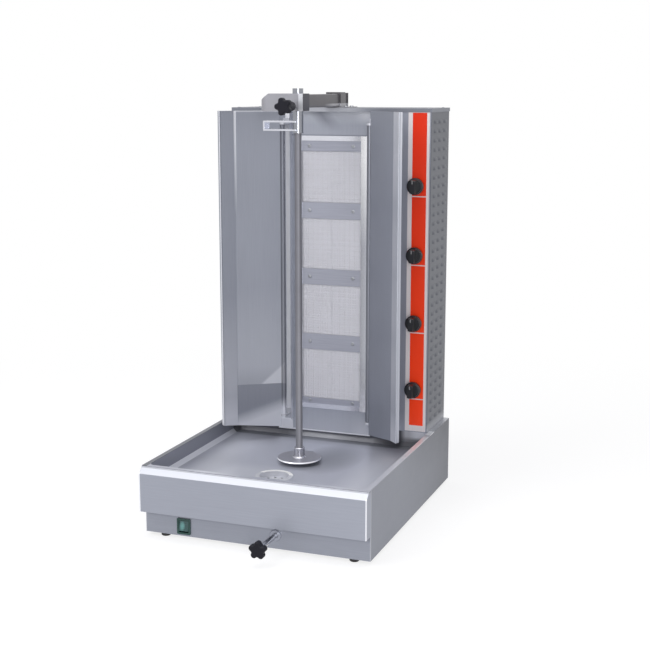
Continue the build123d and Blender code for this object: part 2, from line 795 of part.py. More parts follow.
# Mesh guards: a woven wire guard in a flat rim before each burner
housing_width = 2 * plaque_width + 2 * lift_gap + 2 * housing_wall
housing_height = plaque_height + 2 * lift_gap + 2 * housing_wall
flange_width = housing_width + 2 * housing_flange
flange_height = housing_height + 2 * housing_flange
mesh_pitch_x = (frame_opening + mesh_web) / mesh_columns
mesh_pitch_z = (plaque_height - 2 * ledge + mesh_web) / mesh_rows
with BuildPart() as mesh_guards:
    with BuildSketch(Plane.XZ.offset(-mesh_y)):
        for height in burner_heights:
            with Locations((0, height)):
                Rectangle(flange_width, flange_height)
                with GridLocations(mesh_pitch_x, mesh_pitch_z, mesh_columns, mesh_rows):
                    Rectangle(mesh_pitch_x - mesh_web, mesh_pitch_z - mesh_web, mode=Mode.SUBTRACT)
    extrude(amount=-sheet)
save(mesh_guards, "mesh_guards")

# Ceramic plaques, two side by side in each burner
with BuildPart() as ceramic_plaques:
    with BuildSketch(Plane.XZ.offset(-flange_y)):
        for height in burner_heights:
            with Locations((0, height)):
                with GridLocations(plaque_width + lift_gap, 0, 2, 1):
                    Rectangle(plaque_width, plaque_height)
    extrude(amount=-plaque_depth)
save(ceramic_plaques, "ceramic_plaques")

# Burner housings: stepped box open at the front, with a flared mixing tube on its right side
mixer_y = flange_y + plaque_depth + plenum_depth / 2
housing_back = flange_y + plaque_depth + plenum_depth + housing_wall
mixer_start = housing_width / 2 - housing_wall
mixer_end = housing_width / 2 + mixer_length
for index, height in enumerate(burner_heights):
    with BuildPart() as housing:
        with BuildSketch(Plane.XZ.offset(-flange_y)):
            with Locations((0, height)):
                Rectangle(housing_width, housing_height)
        extrude(amount=flange_y - housing_back)
        with BuildSketch(Plane.XZ.offset(-flange_y)):
            with Locations((0, height)):
                Rectangle(flange_width, flange_height)
        extrude(amount=-housing_wall)
        with BuildSketch(Plane.XZ.offset(-flange_y)):
            with Locations((0, height)):
                Rectangle(housing_width - 2 * housing_wall, housing_height - 2 * housing_wall)
        extrude(amount=-plaque_depth, mode=Mode.SUBTRACT)
        with BuildSketch(Plane.XZ.offset(-flange_y - plaque_depth)):
            with Locations((0, height)):
                Rectangle(2 * plaque_width - 2 * ledge, plaque_height - 2 * ledge)
        extrude(amount=-plenum_depth, mode=Mode.SUBTRACT)
        mixer_axis = Axis((0, mixer_y, height - knob_drop), (1, 0, 0))
        with BuildSketch(Plane.XY.offset(height - knob_drop)):
            with BuildLine():
                Polyline(
                    (mixer_start - ledge, mixer_y),
                    (mixer_start - ledge, mixer_y + mixer_diameter / 2),
                    (mixer_end - mixer_diameter, mixer_y + mixer_diameter / 2),
                    (mixer_end, mixer_y + mixer_mouth / 2),
                    (mixer_end, mixer_y),
                    close=True,
                )
            make_face()
        revolve(axis=mixer_axis)
        with BuildSketch(Plane.XY.offset(height - knob_drop)):
            with BuildLine():
                Polyline(
                    (mixer_start - 2 * ledge, mixer_y),
                    (mixer_start - 2 * ledge, mixer_y + mixer_diameter / 2 - housing_wall),
                    (mixer_end - mixer_diameter, mixer_y + mixer_diameter / 2 - housing_wall),
                    (mixer_end, mixer_y + mixer_mouth / 2 - housing_wall),
                    (mixer_end, mixer_y),
                    close=True,
                )
            make_face()
        revolve(axis=mixer_axis, mode=Mode.SUBTRACT)
    save(housing, f"burner_housing_{index + 1}")

# Gas valves on the manifold, each bored for its spindle and with an outlet to the left
valve_front = cabinet_front + 2 * sheet
valve_back = valve_front + valve_length
manifold_y = valve_back + manifold_diameter / 2 - sheet
outlet_reach = valve_diameter / 2 + injector_diameter / 2
spindle_back = valve_back - 2 * sheet - knob_push
with BuildPart() as gas_valves:
    with BuildSketch(Plane.XZ.offset(-valve_front)):
        for height in knob_heights:
            with Locations((knob_x, height)):
                Circle(valve_diameter / 2)
    extrude(amount=-valve_length)
    with BuildSketch(Plane.YZ.offset(knob_x)):
        for height in knob_heights:
            with Locations((mixer_y, height)):
                Circle(injector_diameter / 2)
    extrude(amount=-outlet_reach)
    with BuildSketch(Plane.XZ.offset(-valve_front)):
        for height in knob_heights:
            with Locations((knob_x, height)):
                Circle(spindle_diameter / 2 + gap)
    extrude(amount=valve_front - spindle_back - knob_push - gap, mode=Mode.SUBTRACT)
    with BuildSketch(Plane.XY.offset(knob_heights[0] - valve_diameter)):
        with Locations((knob_x, manifold_y)):
            Circle(manifold_diameter / 2)
    extrude(amount=knob_heights[-1] - knob_heights[0] + 2 * valve_diameter, mode=Mode.SUBTRACT)
save(gas_valves, "gas_valves")

# Gas manifold: upright pipe with an elbow out through the back
manifold_top = knob_heights[-1] + valve_diameter
with BuildPart() as gas_manifold:
    with BuildLine() as manifold_path:
        FilletPolyline(
            (knob_x, manifold_y, manifold_top),
            (knob_x, manifold_y, inlet_z),
            (knob_x, cabinet_rear - sheet, inlet_z),
            radius=manifold_elbow,
        )
    with BuildSketch(Plane(origin=(knob_x, manifold_y, manifold_top), z_dir=(0, 0, -1))):
        Circle(manifold_diameter / 2)
    sweep(path=manifold_path.wire())
save(gas_manifold, "gas_manifold")

# Gas inlet: hexagon and threaded stub on the manifold's end, through the back
with BuildPart() as gas_inlet:
    with BuildSketch(Plane.XZ.offset(-cabinet_rear + sheet)):
        with Locations((knob_x, inlet_z)):
            Circle(inlet_diameter / 2)
    extrude(amount=-inlet_reach - sheet)
    with BuildSketch(Plane.XZ.offset(-cabinet_rear)):
        with Locations((knob_x, inlet_z)):
            RegularPolygon(inlet_hexagon / 2, 6)
    extrude(amount=-inlet_hexagon_length)
    with BuildSketch(Plane.XZ.offset(-cabinet_rear - inlet_reach)):
        with Locations((knob_x, inlet_z)):
            Circle(inlet_diameter / 2 - 2 * sheet)
    extrude(amount=inlet_reach, mode=Mode.SUBTRACT)
save(gas_inlet, "gas_inlet")

# Feed pipes from the valves, each with a hexagonal injector at its burner's mixing tube
injector_tip = mixer_end - injector_length / 3
feed_start = knob_x - outlet_reach
feed_end = injector_tip + injector_length
with BuildPart() as feed_pipes:
    with BuildSketch(Plane.YZ.offset(feed_start)):
        for height in knob_heights:
            with Locations((mixer_y, height)):
                Circle(feed_diameter / 2)
    extrude(amount=feed_end - feed_start)
    with BuildSketch(Plane.YZ.offset(feed_end)):
        for height in knob_heights:
            with Locations((mixer_y, height)):
                RegularPolygon(injector_diameter / 2, 6)
    extrude(amount=-injector_length, taper=injector_taper)
save(feed_pipes, "feed_pipes")

# Spindles and gas knobs: each spindle pushes in, and its knob turns
knob_back = cabinet_front - plate_thickness - knob_push - 2 * sheet
knob_face = knob_back - knob_length
spindle_front = knob_back - knob_length / 2
for index, height in enumerate(knob_heights):
    with BuildPart() as spindle:
        with BuildSketch(Plane.XZ.offset(-spindle_back)):
            with Locations((knob_x, height)):
                Circle(spindle_diameter / 2)
        extrude(amount=spindle_back - spindle_front)
    save(spindle, f"valve_spindle_{index + 1}")
    with BuildPart() as gas_knob:
        with BuildSketch(Plane.XY.offset(height)):
            with BuildLine():
                Polyline(
                    (knob_x, knob_back),
                    (knob_x + knob_diameter / 2, knob_back),
                    (knob_x + knob_diameter / 2, knob_back - knob_skirt),
                    (knob_x + knob_crown / 2 + sheet, knob_back - knob_skirt - sheet),
                    (knob_x + knob_crown / 2, knob_face + sheet),
                    (knob_x + knob_crown / 2 - sheet, knob_face),
                    (knob_x, knob_face),
                    close=True,
                )
            make_face()
        revolve(axis=Axis((knob_x, 0, height), (0, 1, 0)))
        with BuildSketch(Plane.XZ.offset(-knob_face)):
            for grip_side in (-1, 1):
                with Locations((knob_x + grip_side * (knob_grip + knob_diameter) / 2, height)):
                    Rectangle(knob_diameter, knob_diameter)
        extrude(amount=-knob_grip_depth, mode=Mode.SUBTRACT)
        with BuildSketch(Plane.XZ.offset(-knob_back)):
            with Locations((knob_x, height)):
                Circle(spindle_diameter / 2 + rail_clearance)
        extrude(amount=knob_back - spindle_front + gap, mode=Mode.SUBTRACT)
    save(gas_knob, f"gas_knob_{index + 1}")

# Wings: a sheet bent once, with a stiffening flange outside, hung on a rolled barrel
bend_x = wing_hinge_x + wing_main * cos(radians(wing_main_angle))
bend_y = wing_hinge_y - wing_main * sin(radians(wing_main_angle))
tip_x = bend_x + wing_outer * cos(radians(wing_outer_angle))
tip_y = bend_y - wing_outer * sin(radians(wing_outer_angle))
return_x = tip_x + wing_return * sin(radians(wing_outer_angle))
return_y = tip_y + wing_return * cos(radians(wing_outer_angle))
barrel_low = wing_low_inner + lug_margin
barrel_high = wing_top - lug_margin
for wing_name, mirrored in (("left_wing", -1), ("right_wing", 1)):
    hinge = (mirrored * wing_hinge_x, wing_hinge_y)
    wing_bend = [
        hinge,
        (mirrored * bend_x, bend_y),
        (mirrored * tip_x, tip_y),
        (mirrored * return_x, return_y),
    ]
    side = Side.RIGHT if mirrored == 1 else Side.LEFT
    with BuildPart() as wing:
        wing_section = bent_sheet(Plane.XY.offset(wing_low_inner), wing_bend, side)
        extrude(wing_section, amount=wing_top - wing_low_inner)
        with BuildSketch(Plane.XY.offset(barrel_low)):
            with Locations(hinge):
                Circle(barrel_diameter / 2)
        extrude(amount=barrel_high - barrel_low)
        with BuildSketch(Plane.XZ):
            Polygon(
                (mirrored * (wing_hinge_x - barrel_diameter), wing_low_inner),
                (mirrored * bend_x, rim_height + wing_bend_rise),
                (mirrored * (tip_x + barrel_diameter), rim_height + wing_tip_rise),
                (mirrored * (tip_x + barrel_diameter), wing_low_inner - barrel_diameter),
                (mirrored * (wing_hinge_x - barrel_diameter), wing_low_inner - barrel_diameter),
                align=None,
            )
        extrude(amount=base_depth, both=True, mode=Mode.SUBTRACT)
        with BuildSketch(Plane.XY.offset(wing_low_inner)):
            with Locations(hinge):
                Circle(lug_radius + 2 * gap)
        extrude(amount=lug_margin, mode=Mode.SUBTRACT)
        with BuildSketch(Plane.XY.offset(barrel_high)):
            with Locations(hinge):
                Circle(lug_radius + 2 * gap)
        extrude(amount=lug_margin, mode=Mode.SUBTRACT)
        with BuildSketch(Plane.XY.offset(barrel_low)):
            with Locations(hinge):
                Circle(pin_diameter / 2 + rail_clearance)
        extrude(amount=barrel_high - barrel_low, mode=Mode.SUBTRACT)
    save(wing, wing_name)

# Hinge lugs: four brackets on the front panels, each with a pin into a barrel's end
with BuildPart() as hinge_lugs:
    for lug_low_z, pin_low_z in (
        (barrel_low - gap - lug_thickness, barrel_low - gap),
        (barrel_high + gap, barrel_high + gap - pin_length),
    ):
        with BuildSketch(Plane.XY.offset(lug_low_z)):
            with Locations((0, wing_hinge_y)):
                with GridLocations(2 * wing_hinge_x, 0, 2, 1):
                    Circle(lug_radius)
            with Locations((0, (wing_hinge_y + cabinet_front) / 2)):
                with GridLocations(2 * wing_hinge_x, 0, 2, 1):
                    Rectangle(2 * lug_radius, wing_standoff)
        extrude(amount=lug_thickness)
        with BuildSketch(Plane.XY.offset(pin_low_z)):
            with Locations((0, wing_hinge_y)):
                with GridLocations(2 * wing_hinge_x, 0, 2, 1):
                    Circle(pin_diameter / 2)
        extrude(amount=pin_length)
        with BuildSketch(Plane.XZ.offset(-cabinet_front)):
            with Locations((0, lug_low_z + lug_thickness / 2)):
                with GridLocations(2 * wing_hinge_x, 0, 2, 1):
                    Rectangle(2 * lug_radius, lug_plate_height)
        extrude(amount=2 * sheet)
save(hinge_lugs, "hinge_lugs")

# Top arm: square tube sliding over the cabinet top, with a stop plate on its rear end
arm_front = block_depth / 2
arm_length = arm_rear - arm_front
with BuildPart() as top_arm:
    with BuildSketch(Plane.XZ.offset(-arm_front)):
        with Locations((0, arm_middle)):
            RectangleRounded(arm_width, arm_height, arm_wall)
            Rectangle(arm_width - 2 * arm_wall, arm_height - 2 * arm_wall, mode=Mode.SUBTRACT)
    extrude(amount=-arm_length)
    with BuildSketch(Plane.XZ.offset(-arm_rear)):
        with Locations((0, arm_middle)):
            Rectangle(arm_width + 2 * arm_wall, arm_height + 2 * arm_wall)
    extrude(amount=-arm_wall)
save(top_arm, "top_arm")

# Arm guide: base plate, two cheeks and a strap on the cabinet top
guide_half = arm_width / 2 + gap
guide_middle = guide_front + guide_length / 2
strap_under = arm_under + arm_height + gap
with BuildPart() as arm_guide:
    with BuildSketch(Plane.XY.offset(cabinet_top)):
        with Locations((0, guide_middle)):
            Rectangle(guide_foot, guide_length)
    extrude(amount=arm_lift - gap)
    with BuildSketch(Plane.XY.offset(cabinet_top)):
        with Locations((0, guide_middle)):
            with GridLocations(2 * guide_half + guide_wall, 0, 2, 1):
                Rectangle(guide_wall, guide_length / 2)
    extrude(amount=strap_under + guide_wall - cabinet_top)
    with BuildSketch(Plane.XY.offset(strap_under)):
        with Locations((0, guide_middle)):
            Rectangle(2 * guide_half + 2 * guide_wall, guide_length / 2)
    extrude(amount=guide_wall)
save(arm_guide, "arm_guide")

# Holder block on the arm's front end, rounded and sloped at its left end, bored for the tube
block_low = arm_under - block_drop
block_high = arm_under + arm_height + block_rise
with BuildPart() as holder_block:
    with BuildSketch(Plane.XY.offset(block_low)):
        with Locations(((block_right - block_left + block_depth / 2) / 2, 0)):
            Rectangle(block_left + block_right - block_depth / 2, block_depth)
        with Locations((-block_left + block_depth / 2, 0)):
            Circle(block_depth / 2)
        Circle(tube_diameter / 2 + gap, mode=Mode.SUBTRACT)
    extrude(amount=block_high - block_low)
    with BuildSketch(Plane.XZ.offset(block_depth / 2)):
        Polygon(
            (-block_left, block_high - block_slope_drop),
            (-block_left + block_slope, block_high),
            (-block_left, block_high),
            align=None,
        )
    extrude(amount=-block_depth, mode=Mode.SUBTRACT)
    with BuildSketch(Plane.XZ.offset(block_depth / 2)):
        with Locations((0, clamp_z)):
            Circle(clamp_screw / 2 + gap)
    extrude(amount=-block_depth / 2, mode=Mode.SUBTRACT)
save(holder_block, "holder_block")

# Holder tube, its bush for the spit's end, and the loop that lifts it
with BuildPart() as holder_tube:
    with BuildSketch(Plane.XY.offset(tube_bottom)):
        Circle(tube_diameter / 2)
        Circle(tube_bore / 2, mode=Mode.SUBTRACT)
    extrude(amount=tube_length)
save(holder_tube, "holder_tube")

with BuildPart() as top_bush:
    with BuildSketch(Plane.XY.offset(tube_bottom)):
        Circle(tube_bore / 2)
        Circle(spit_diameter / 2 + gap, mode=Mode.SUBTRACT)
    extrude(amount=bush_length)
save(top_bush, "top_bush")

loop_low = tube_bottom + loop_rise
loop_high = loop_low + loop_height
with BuildPart() as lift_loop:
    with BuildSketch(Plane.XZ.offset(loop_depth / 2)):
        with Locations((-loop_reach / 2, (loop_low + loop_high) / 2)):
            Rectangle(loop_reach, loop_height)
            with Locations((loop_thickness, 0)):
                Rectangle(loop_reach, loop_height - 2 * loop_thickness, mode=Mode.SUBTRACT)
    extrude(amount=-loop_depth)
    with BuildSketch(Plane.XY.offset(loop_low)):
        Circle(tube_diameter / 2)
    extrude(amount=loop_height, mode=Mode.SUBTRACT)
save(lift_loop, "lift_loop")

# Clamp knob with its screw, pressing on the holder tube from the front
with BuildPart() as clamp_stud:
    with BuildSketch(Plane.XZ.offset(clamp_reach)):
        with Locations((0, clamp_z)):
            Circle(clamp_screw / 2)
    extrude(amount=tube_diameter / 2 + gap - clamp_reach)
save(clamp_stud, "clamp_screw")

clamp_knob = star_knob(0, -clamp_reach, clamp_z, clamp_screw, clamp_neck, clamp_knob_turn)
save(clamp_knob, "clamp_knob")

# Cable gland low on the base's rear wall
with BuildPart() as cable_gland:
    with BuildSketch(Plane.XZ.offset(-rear_y)):
        with Locations((switch_x, switch_z)):
            RegularPolygon(gland_hexagon / 2, 6)
    extrude(amount=-gland_hexagon_length)
    with BuildSketch(Plane.XZ.offset(-rear_y)):
        with Locations((switch_x, switch_z)):
            Circle(gland_nose / 2)
    extrude(amount=-gland_reach)
    with BuildSketch(Plane.XZ.offset(-rear_y)):
        with Locations((switch_x, switch_z)):
            Circle(gland_bore / 2)
    extrude(amount=-gland_reach, mode=Mode.SUBTRACT)
save(cable_gland, "cable_gland")
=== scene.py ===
import math

import bmesh
import bpy
from mathutils import Euler, Matrix, Vector


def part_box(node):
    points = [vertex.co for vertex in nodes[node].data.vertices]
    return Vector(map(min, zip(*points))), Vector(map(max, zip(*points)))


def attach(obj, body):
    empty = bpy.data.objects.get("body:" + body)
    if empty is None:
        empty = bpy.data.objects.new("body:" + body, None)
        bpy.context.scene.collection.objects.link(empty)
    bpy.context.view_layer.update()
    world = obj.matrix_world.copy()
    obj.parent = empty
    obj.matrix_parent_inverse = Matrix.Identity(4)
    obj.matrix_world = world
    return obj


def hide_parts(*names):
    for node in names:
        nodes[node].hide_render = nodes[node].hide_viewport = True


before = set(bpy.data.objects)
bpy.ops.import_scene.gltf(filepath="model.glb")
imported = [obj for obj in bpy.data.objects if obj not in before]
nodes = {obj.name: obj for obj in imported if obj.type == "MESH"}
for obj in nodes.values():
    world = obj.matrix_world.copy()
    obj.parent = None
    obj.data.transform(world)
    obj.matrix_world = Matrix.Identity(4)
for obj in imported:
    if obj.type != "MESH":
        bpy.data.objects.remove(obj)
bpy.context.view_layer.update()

millimetre = 0.001
black, white = (0, 0, 0, 1), (1, 1, 1, 1)


# Node graphs: sockets that take arithmetic, for materials and for geometry trees alike
class Wire:
    def __init__(self, graph, socket):
        self.graph = graph
        self.socket = socket

    def calc(self, operation, *others):
        return self.graph.add("ShaderNodeMath", {"operation": operation}, [self, *others])

    def __add__(self, other):
        return self.calc("ADD", other)

    def __radd__(self, other):
        return self.calc("ADD", other)

    def __sub__(self, other):
        return self.calc("SUBTRACT", other)

    def __rsub__(self, other):
        return self.graph.add("ShaderNodeMath", {"operation": "SUBTRACT"}, [other, self])

    def __mul__(self, other):
        return self.calc("MULTIPLY", other)

    def __rmul__(self, other):
        return self.calc("MULTIPLY", other)

    def __truediv__(self, other):
        return self.calc("DIVIDE", other)

    def __pow__(self, other):
        return self.calc("POWER", other)

    def __mod__(self, other):
        return self.calc("FLOORED_MODULO", other)

    def __gt__(self, other):
        return self.calc("GREATER_THAN", other)

    def __lt__(self, other):
        return self.calc("LESS_THAN", other)


class Graph:
    def __init__(self, tree):
        self.tree = tree

    # Any node: its settings first, then the values or links of its sockets
    def add(self, kind, settings=None, inputs=None, output=0):
        node = self.tree.nodes.new(kind)
        for key, value in (settings or {}).items():
            setattr(node, key, value)
        pairs = inputs.items() if isinstance(inputs, dict) else enumerate(inputs or [])
        for key, value in pairs:
            self.feed(node.inputs[key], value)
        return Wire(self, node.outputs[output])

    def feed(self, socket, value):
        if isinstance(value, Wire):
            self.tree.links.new(value.socket, socket)
        else:
            socket.default_value = value

    # Another output of the node that a wire comes from
    def sibling(self, wire, output):
        return Wire(self, wire.socket.node.outputs[output])


noiseRoughness = 0.55


class Finish(Graph):
    def __init__(self, name, **values):
        self.material = bpy.data.materials.new(name)
        self.material.use_nodes = True
        super().__init__(self.material.node_tree)
        self.shader = self.tree.nodes["Principled BSDF"]
        self.set(**values)

    def set(self, **values):
        for key, value in values.items():
            self.feed(self.shader.inputs[key.replace("_", " ")], value)

    def place(self, scale=(1, 1, 1)):
        spot = self.add("ShaderNodeTexCoord", output="Object")
        return self.add("ShaderNodeMapping", inputs={"Vector": spot, "Scale": scale})

    def noise(self, scale, detail, stretch=(1, 1, 1)):
        values = {"Scale": scale, "Detail": detail, "Roughness": noiseRoughness}
        return self.add("ShaderNodeTexNoise", inputs={"Vector": self.place(stretch), **values})

    def blend(self, factor, first, second):
        settings = {"data_type": "RGBA"}
        return self.add("ShaderNodeMix", settings, {0: factor, 6: first, 7: second}, output=2)

    # Colours laid over a base one after another, each with its own share
    def layered(self, base, layers):
        for share, colour in layers:
            base = self.blend(share, base, colour)
        return base

    def axes(self):
        spot = self.add("ShaderNodeSeparateXYZ", inputs=[self.place()])
        return spot, self.sibling(spot, 1), self.sibling(spot, 2)

    # How far a face looks up or down: 1 when level, 0 when upright
    def upward(self):
        normal = self.add("ShaderNodeNewGeometry", output="Normal")
        return self.add("ShaderNodeSeparateXYZ", inputs=[normal], output=2).calc("ABSOLUTE")

    def bump(self, height, strength, distance):
        values = {"Strength": strength, "Distance": distance, "Height": height}
        self.set(Normal=self.add("ShaderNodeBump", inputs=values))


# 0 at the first of a pair and 1 at the second, which may be the lower one
def ramp(value, span):
    start, full = span
    return ((value - start) / (full - start)).calc("MAXIMUM", 0.0).calc("MINIMUM", 1.0)


def inside(value, span):
    return (value > span[0]) * (value < span[1])


def strongest(first, *others):
    for other in others:
        first = first.calc("MAXIMUM", other)
    return first


def swing(noise, amount):
    return (noise - 0.5) * amount


def shade(colour, amount):
    return tuple(min(1.0, c * amount) for c in colour[:3]) + (1.0,)


def toneRange(colour, tones):
    return shade(colour, tones[0]), shade(colour, tones[1])


# Finishes: noise scales, tones at a noise's two ends, swings of roughness, bump strength and distance
brushing = {"clouds": 5.0, "flecks": 38.0, "lineTone": 1.6, "cloudTone": 0.7, "lineRough": 0.16,
            "fleckRough": 0.05, "bump": (0.06, 0.0003)}


def brushedSteel(name, colour, roughness, grain, contrast=0.07, smudge=0.08, metal=0.6, accent=None):
    finish = Finish(name, Metallic=metal)
    lines = finish.noise(1.0, 4.0, grain)
    clouds = finish.noise(brushing["clouds"], 3.0)
    flecks = finish.noise(brushing["flecks"], 2.0)
    tone = 0.5 + swing(lines, brushing["lineTone"]) + swing(clouds, brushing["cloudTone"])
    base = finish.blend(tone, *toneRange(colour, (1 - contrast, 1 + contrast)))
    finish.set(Base_Color=accent(finish, base) if accent else base)
    wear = swing(lines, brushing["lineRough"]) + swing(clouds, smudge) + swing(flecks, brushing["fleckRough"])
    finish.set(Roughness=roughness + wear)
    finish.bump(lines, *brushing["bump"])
    return finish.material


polishing = {"wear": 30.0, "scratches": (700, 60, 700), "tones": (0.92, 1.05), "wearRough": 0.08,
             "scratchRough": 0.06, "bump": (0.05, 0.0002)}


def polishedSteel(name, colour, roughness, accent=None, polish=None):
    finish = Finish(name, Metallic=1.0)
    if polish:
        roughness = roughness - polish(finish)
    wear = finish.noise(polishing["wear"], 4.0)
    scratches = finish.noise(1.0, 3.0, polishing["scratches"])
    base = finish.blend(wear, *toneRange(colour, polishing["tones"]))
    finish.set(Base_Color=accent(finish, base) if accent else base)
    swings = swing(wear, polishing["wearRough"]) + swing(scratches, polishing["scratchRough"])
    finish.set(Roughness=roughness + swings)
    finish.bump(scratches, *polishing["bump"])
    return finish.material


turning = {"stains": 14.0, "tones": (0.8, 1.15), "ringRough": 0.18, "bump": (0.03, 0.0002)}


def turnedSteel(name, colour, roughness, axisStretch, accent=None):
    finish = Finish(name, Metallic=1.0)
    rings = finish.noise(1.0, 3.0, axisStretch)
    base = finish.blend(finish.noise(turning["stains"], 4.0), *toneRange(colour, turning["tones"]))
    finish.set(Base_Color=accent(finish, base) if accent else base)
    finish.set(Roughness=roughness + swing(rings, turning["ringRough"]))
    finish.bump(rings, *turning["bump"])
    return finish.material


plaqueFace = {
    "pitch": 2.6 * millimetre, "holeShare": 0.24,
    "pale": (0.66, 0.66, 0.72, 1), "stained": (0.57, 0.57, 0.62, 1), "holeColour": (0.45, 0.44, 0.46, 1),
    "stains": 9.0, "roughness": 0.85, "stainRough": 0.1, "bump": (0.5, 0.0006),
}


# Fine holes in a square grid, with a worn and heat-stained face
def piercedCeramic(name):
    finish = Finish(name)
    x, _, z = finish.axes()
    across, upright = [(axis / plaqueFace["pitch"]) % 1.0 - 0.5 for axis in (x, z)]
    hole = (across * across + upright * upright) < plaqueFace["holeShare"] ** 2
    stains = finish.noise(plaqueFace["stains"], 4.0)
    face = finish.blend(stains, plaqueFace["pale"], plaqueFace["stained"])
    finish.set(Base_Color=finish.blend(hole, face, plaqueFace["holeColour"]))
    finish.set(Roughness=plaqueFace["roughness"] + swing(stains, plaqueFace["stainRough"]))
    finish.bump(1 - hole, *plaqueFace["bump"])
    return finish.material


enamelling = {"ripples": 55.0, "clouds": 7.0, "tones": (0.95, 1.04), "roughness": 0.36, "rippleRough": 0.1,
              "bump": (0.04, 0.0004)}


def enamel(name, colour, accent):
    finish = Finish(name, Coat_Weight=0.12, Coat_Roughness=0.12, Specular_IOR_Level=0.3)
    ripples = finish.noise(enamelling["ripples"], 2.0)
    base = finish.blend(finish.noise(enamelling["clouds"], 3.0), *toneRange(colour, enamelling["tones"]))
    finish.set(Base_Color=accent(finish, base))
    finish.set(Roughness=enamelling["roughness"] + swing(ripples, enamelling["rippleRough"]))
    finish.bump(ripples, *enamelling["bump"])
    return finish.material


moulding = {"handling": 22.0, "tones": (0.8, 1.3), "handlingRough": 0.18, "bump": (0.12, 0.0002)}


def mouldedPlastic(name, colour, roughness, grainScale=900.0, shine=0.5):
    finish = Finish(name, Specular_IOR_Level=shine)
    grain = finish.noise(grainScale, 2.0)
    handling = finish.noise(moulding["handling"], 3.0)
    finish.set(Base_Color=finish.blend(handling, *toneRange(colour, moulding["tones"])))
    finish.set(Roughness=roughness + swing(handling, moulding["handlingRough"]))
    finish.bump(grain, *moulding["bump"])
    return finish.material


switchLens = {
    "edge": (0.010, 0.050, 0.050, 1), "middle": (0.090, 0.250, 0.240, 1), "glow": 0.3,
    "shift": -0.3, "spread": 0.6,  # lit spot's place and width across the lens
    "specks": 400.0, "speckShare": 0.2,
}


# A lamp behind green plastic: brightest at the lit spot
def litLens(name):
    low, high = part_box("switch_rocker")
    middle = (low + high) / 2
    reach = (high.z - low.z) / 2
    finish = Finish(name, Roughness=0.25, Coat_Weight=0.5)
    x, _, z = finish.axes()
    across = (x - (middle.x + switchLens["shift"] * reach)) / (switchLens["spread"] * reach)
    upright = (z - middle.z) / reach
    glow = strongest(1 - (across * across + upright * upright), 0.0)
    share = switchLens["speckShare"]
    glow = glow * (1 - share + share * finish.noise(switchLens["specks"], 2.0))
    colour = finish.blend(glow, switchLens["edge"], switchLens["middle"])
    finish.set(Base_Color=colour, Emission_Color=colour, Emission_Strength=switchLens["glow"])
    return finish.material


casting = {"tarnish": 40.0, "tones": (0.7, 1.1), "roughness": 0.32, "tarnishRough": 0.2,
           "bump": (0.05, 0.0003)}


def castBrass(name, colour):
    finish = Finish(name, Metallic=1.0)
    tarnish = finish.noise(casting["tarnish"], 4.0)
    finish.set(Base_Color=finish.blend(tarnish, *toneRange(colour, casting["tones"])))
    finish.set(Roughness=casting["roughness"] + swing(tarnish, casting["tarnishRough"]))
    finish.bump(tarnish, *casting["bump"])
    return finish.material


# Tones by place: painted highlights on folds and edges, painted shade in corners and under pieces, and painted
# reflections of nearby pieces.
# A pair is where a tone starts and where it is full, in metres
# The colour of painted light and the colour of painted shade
paintedLight = (0.80, 0.81, 0.86, 1)
paintedShade = (0.10, 0.105, 0.125, 1)
levelFace = 0.9  # a face that looks up more than this counts as level
skin = millimetre  # depth within which a face is taken as the outermost

# The wing in plan, in millimetres and degrees, and how far a tone reaches from each of its lines
wingShape = {"main": 123.7, "mainAngle": 44.8, "outer": 40.4, "outerAngle": 54.8, "hinge": (112.0, 176.5)}
wingReach = {"hinge": 7.5, "bend": 3.4, "edge": 2.6}
wingTone = {
    "bend": 0.85, "bendRise": (0.70, 0.95),
    "lip": 0.2 * millimetre, "leftLip": 0.7, "leftRule": 0.35, "rightEdge": 0.1,
    "hem": 0.5, "hemHeight": 3 * millimetre,
    "headRise": (0.75, 0.95), "footFall": (0.25, 0.20),
    "outer": 0.4, "outerHead": 0.45, "outerFoot": 0.35,
    "flange": 0.2, "flangeHead": 0.35, "flangeFrom": 3 * millimetre,
    "upper": 0.12, "upperRise": (0.72, 0.97),
    "strake": 0.31, "strakeFall": (0.50, 0.28), "strakeFoot": 0.28,
    "hinge": 0.7, "hingeRise": (0.21, 0.24),
}
# A painted reflection of the tray in the left wing's foot, with a painted wedge of light above it
wingMirror = {
    "top": {"x": -0.119, "height": 0.272, "slope": -0.075},
    "band": {"x": -0.150, "height": 0.0, "slope": 0.35},
    "wedge": {"x": -0.161, "height": 0.0, "slope": 1.17},
    "wedgeLight": 0.5, "wedgeRise": (0.0, 0.012),
    "glow": 0.62, "glowFall": (0.222, 0.190),
    "gloom": 0.25, "gloomRise": (0.205, 0.228),
    "above": 0.2, "aboveFall": (0.52, 0.30),
    "dusk": 0.13, "duskFall": (0.045, 0.015),
}


# Where the wing's hinge, bend and outer edge stand, in plan
def wingCorners():
    corner = Vector(wingShape["hinge"])
    corners = {"hinge": corner.copy()}
    for name, length, angle in (("bend", "main", "mainAngle"), ("edge", "outer", "outerAngle")):
        turn = math.radians(wingShape[angle])
        corner = corner + wingShape[length] * Vector((math.cos(turn), -math.sin(turn)))
        corners[name] = corner.copy()
    return {name: corner * millimetre for name, corner in corners.items()}


def heightAt(x, line):
    return (x - line["x"]) * line["slope"] + line["height"]
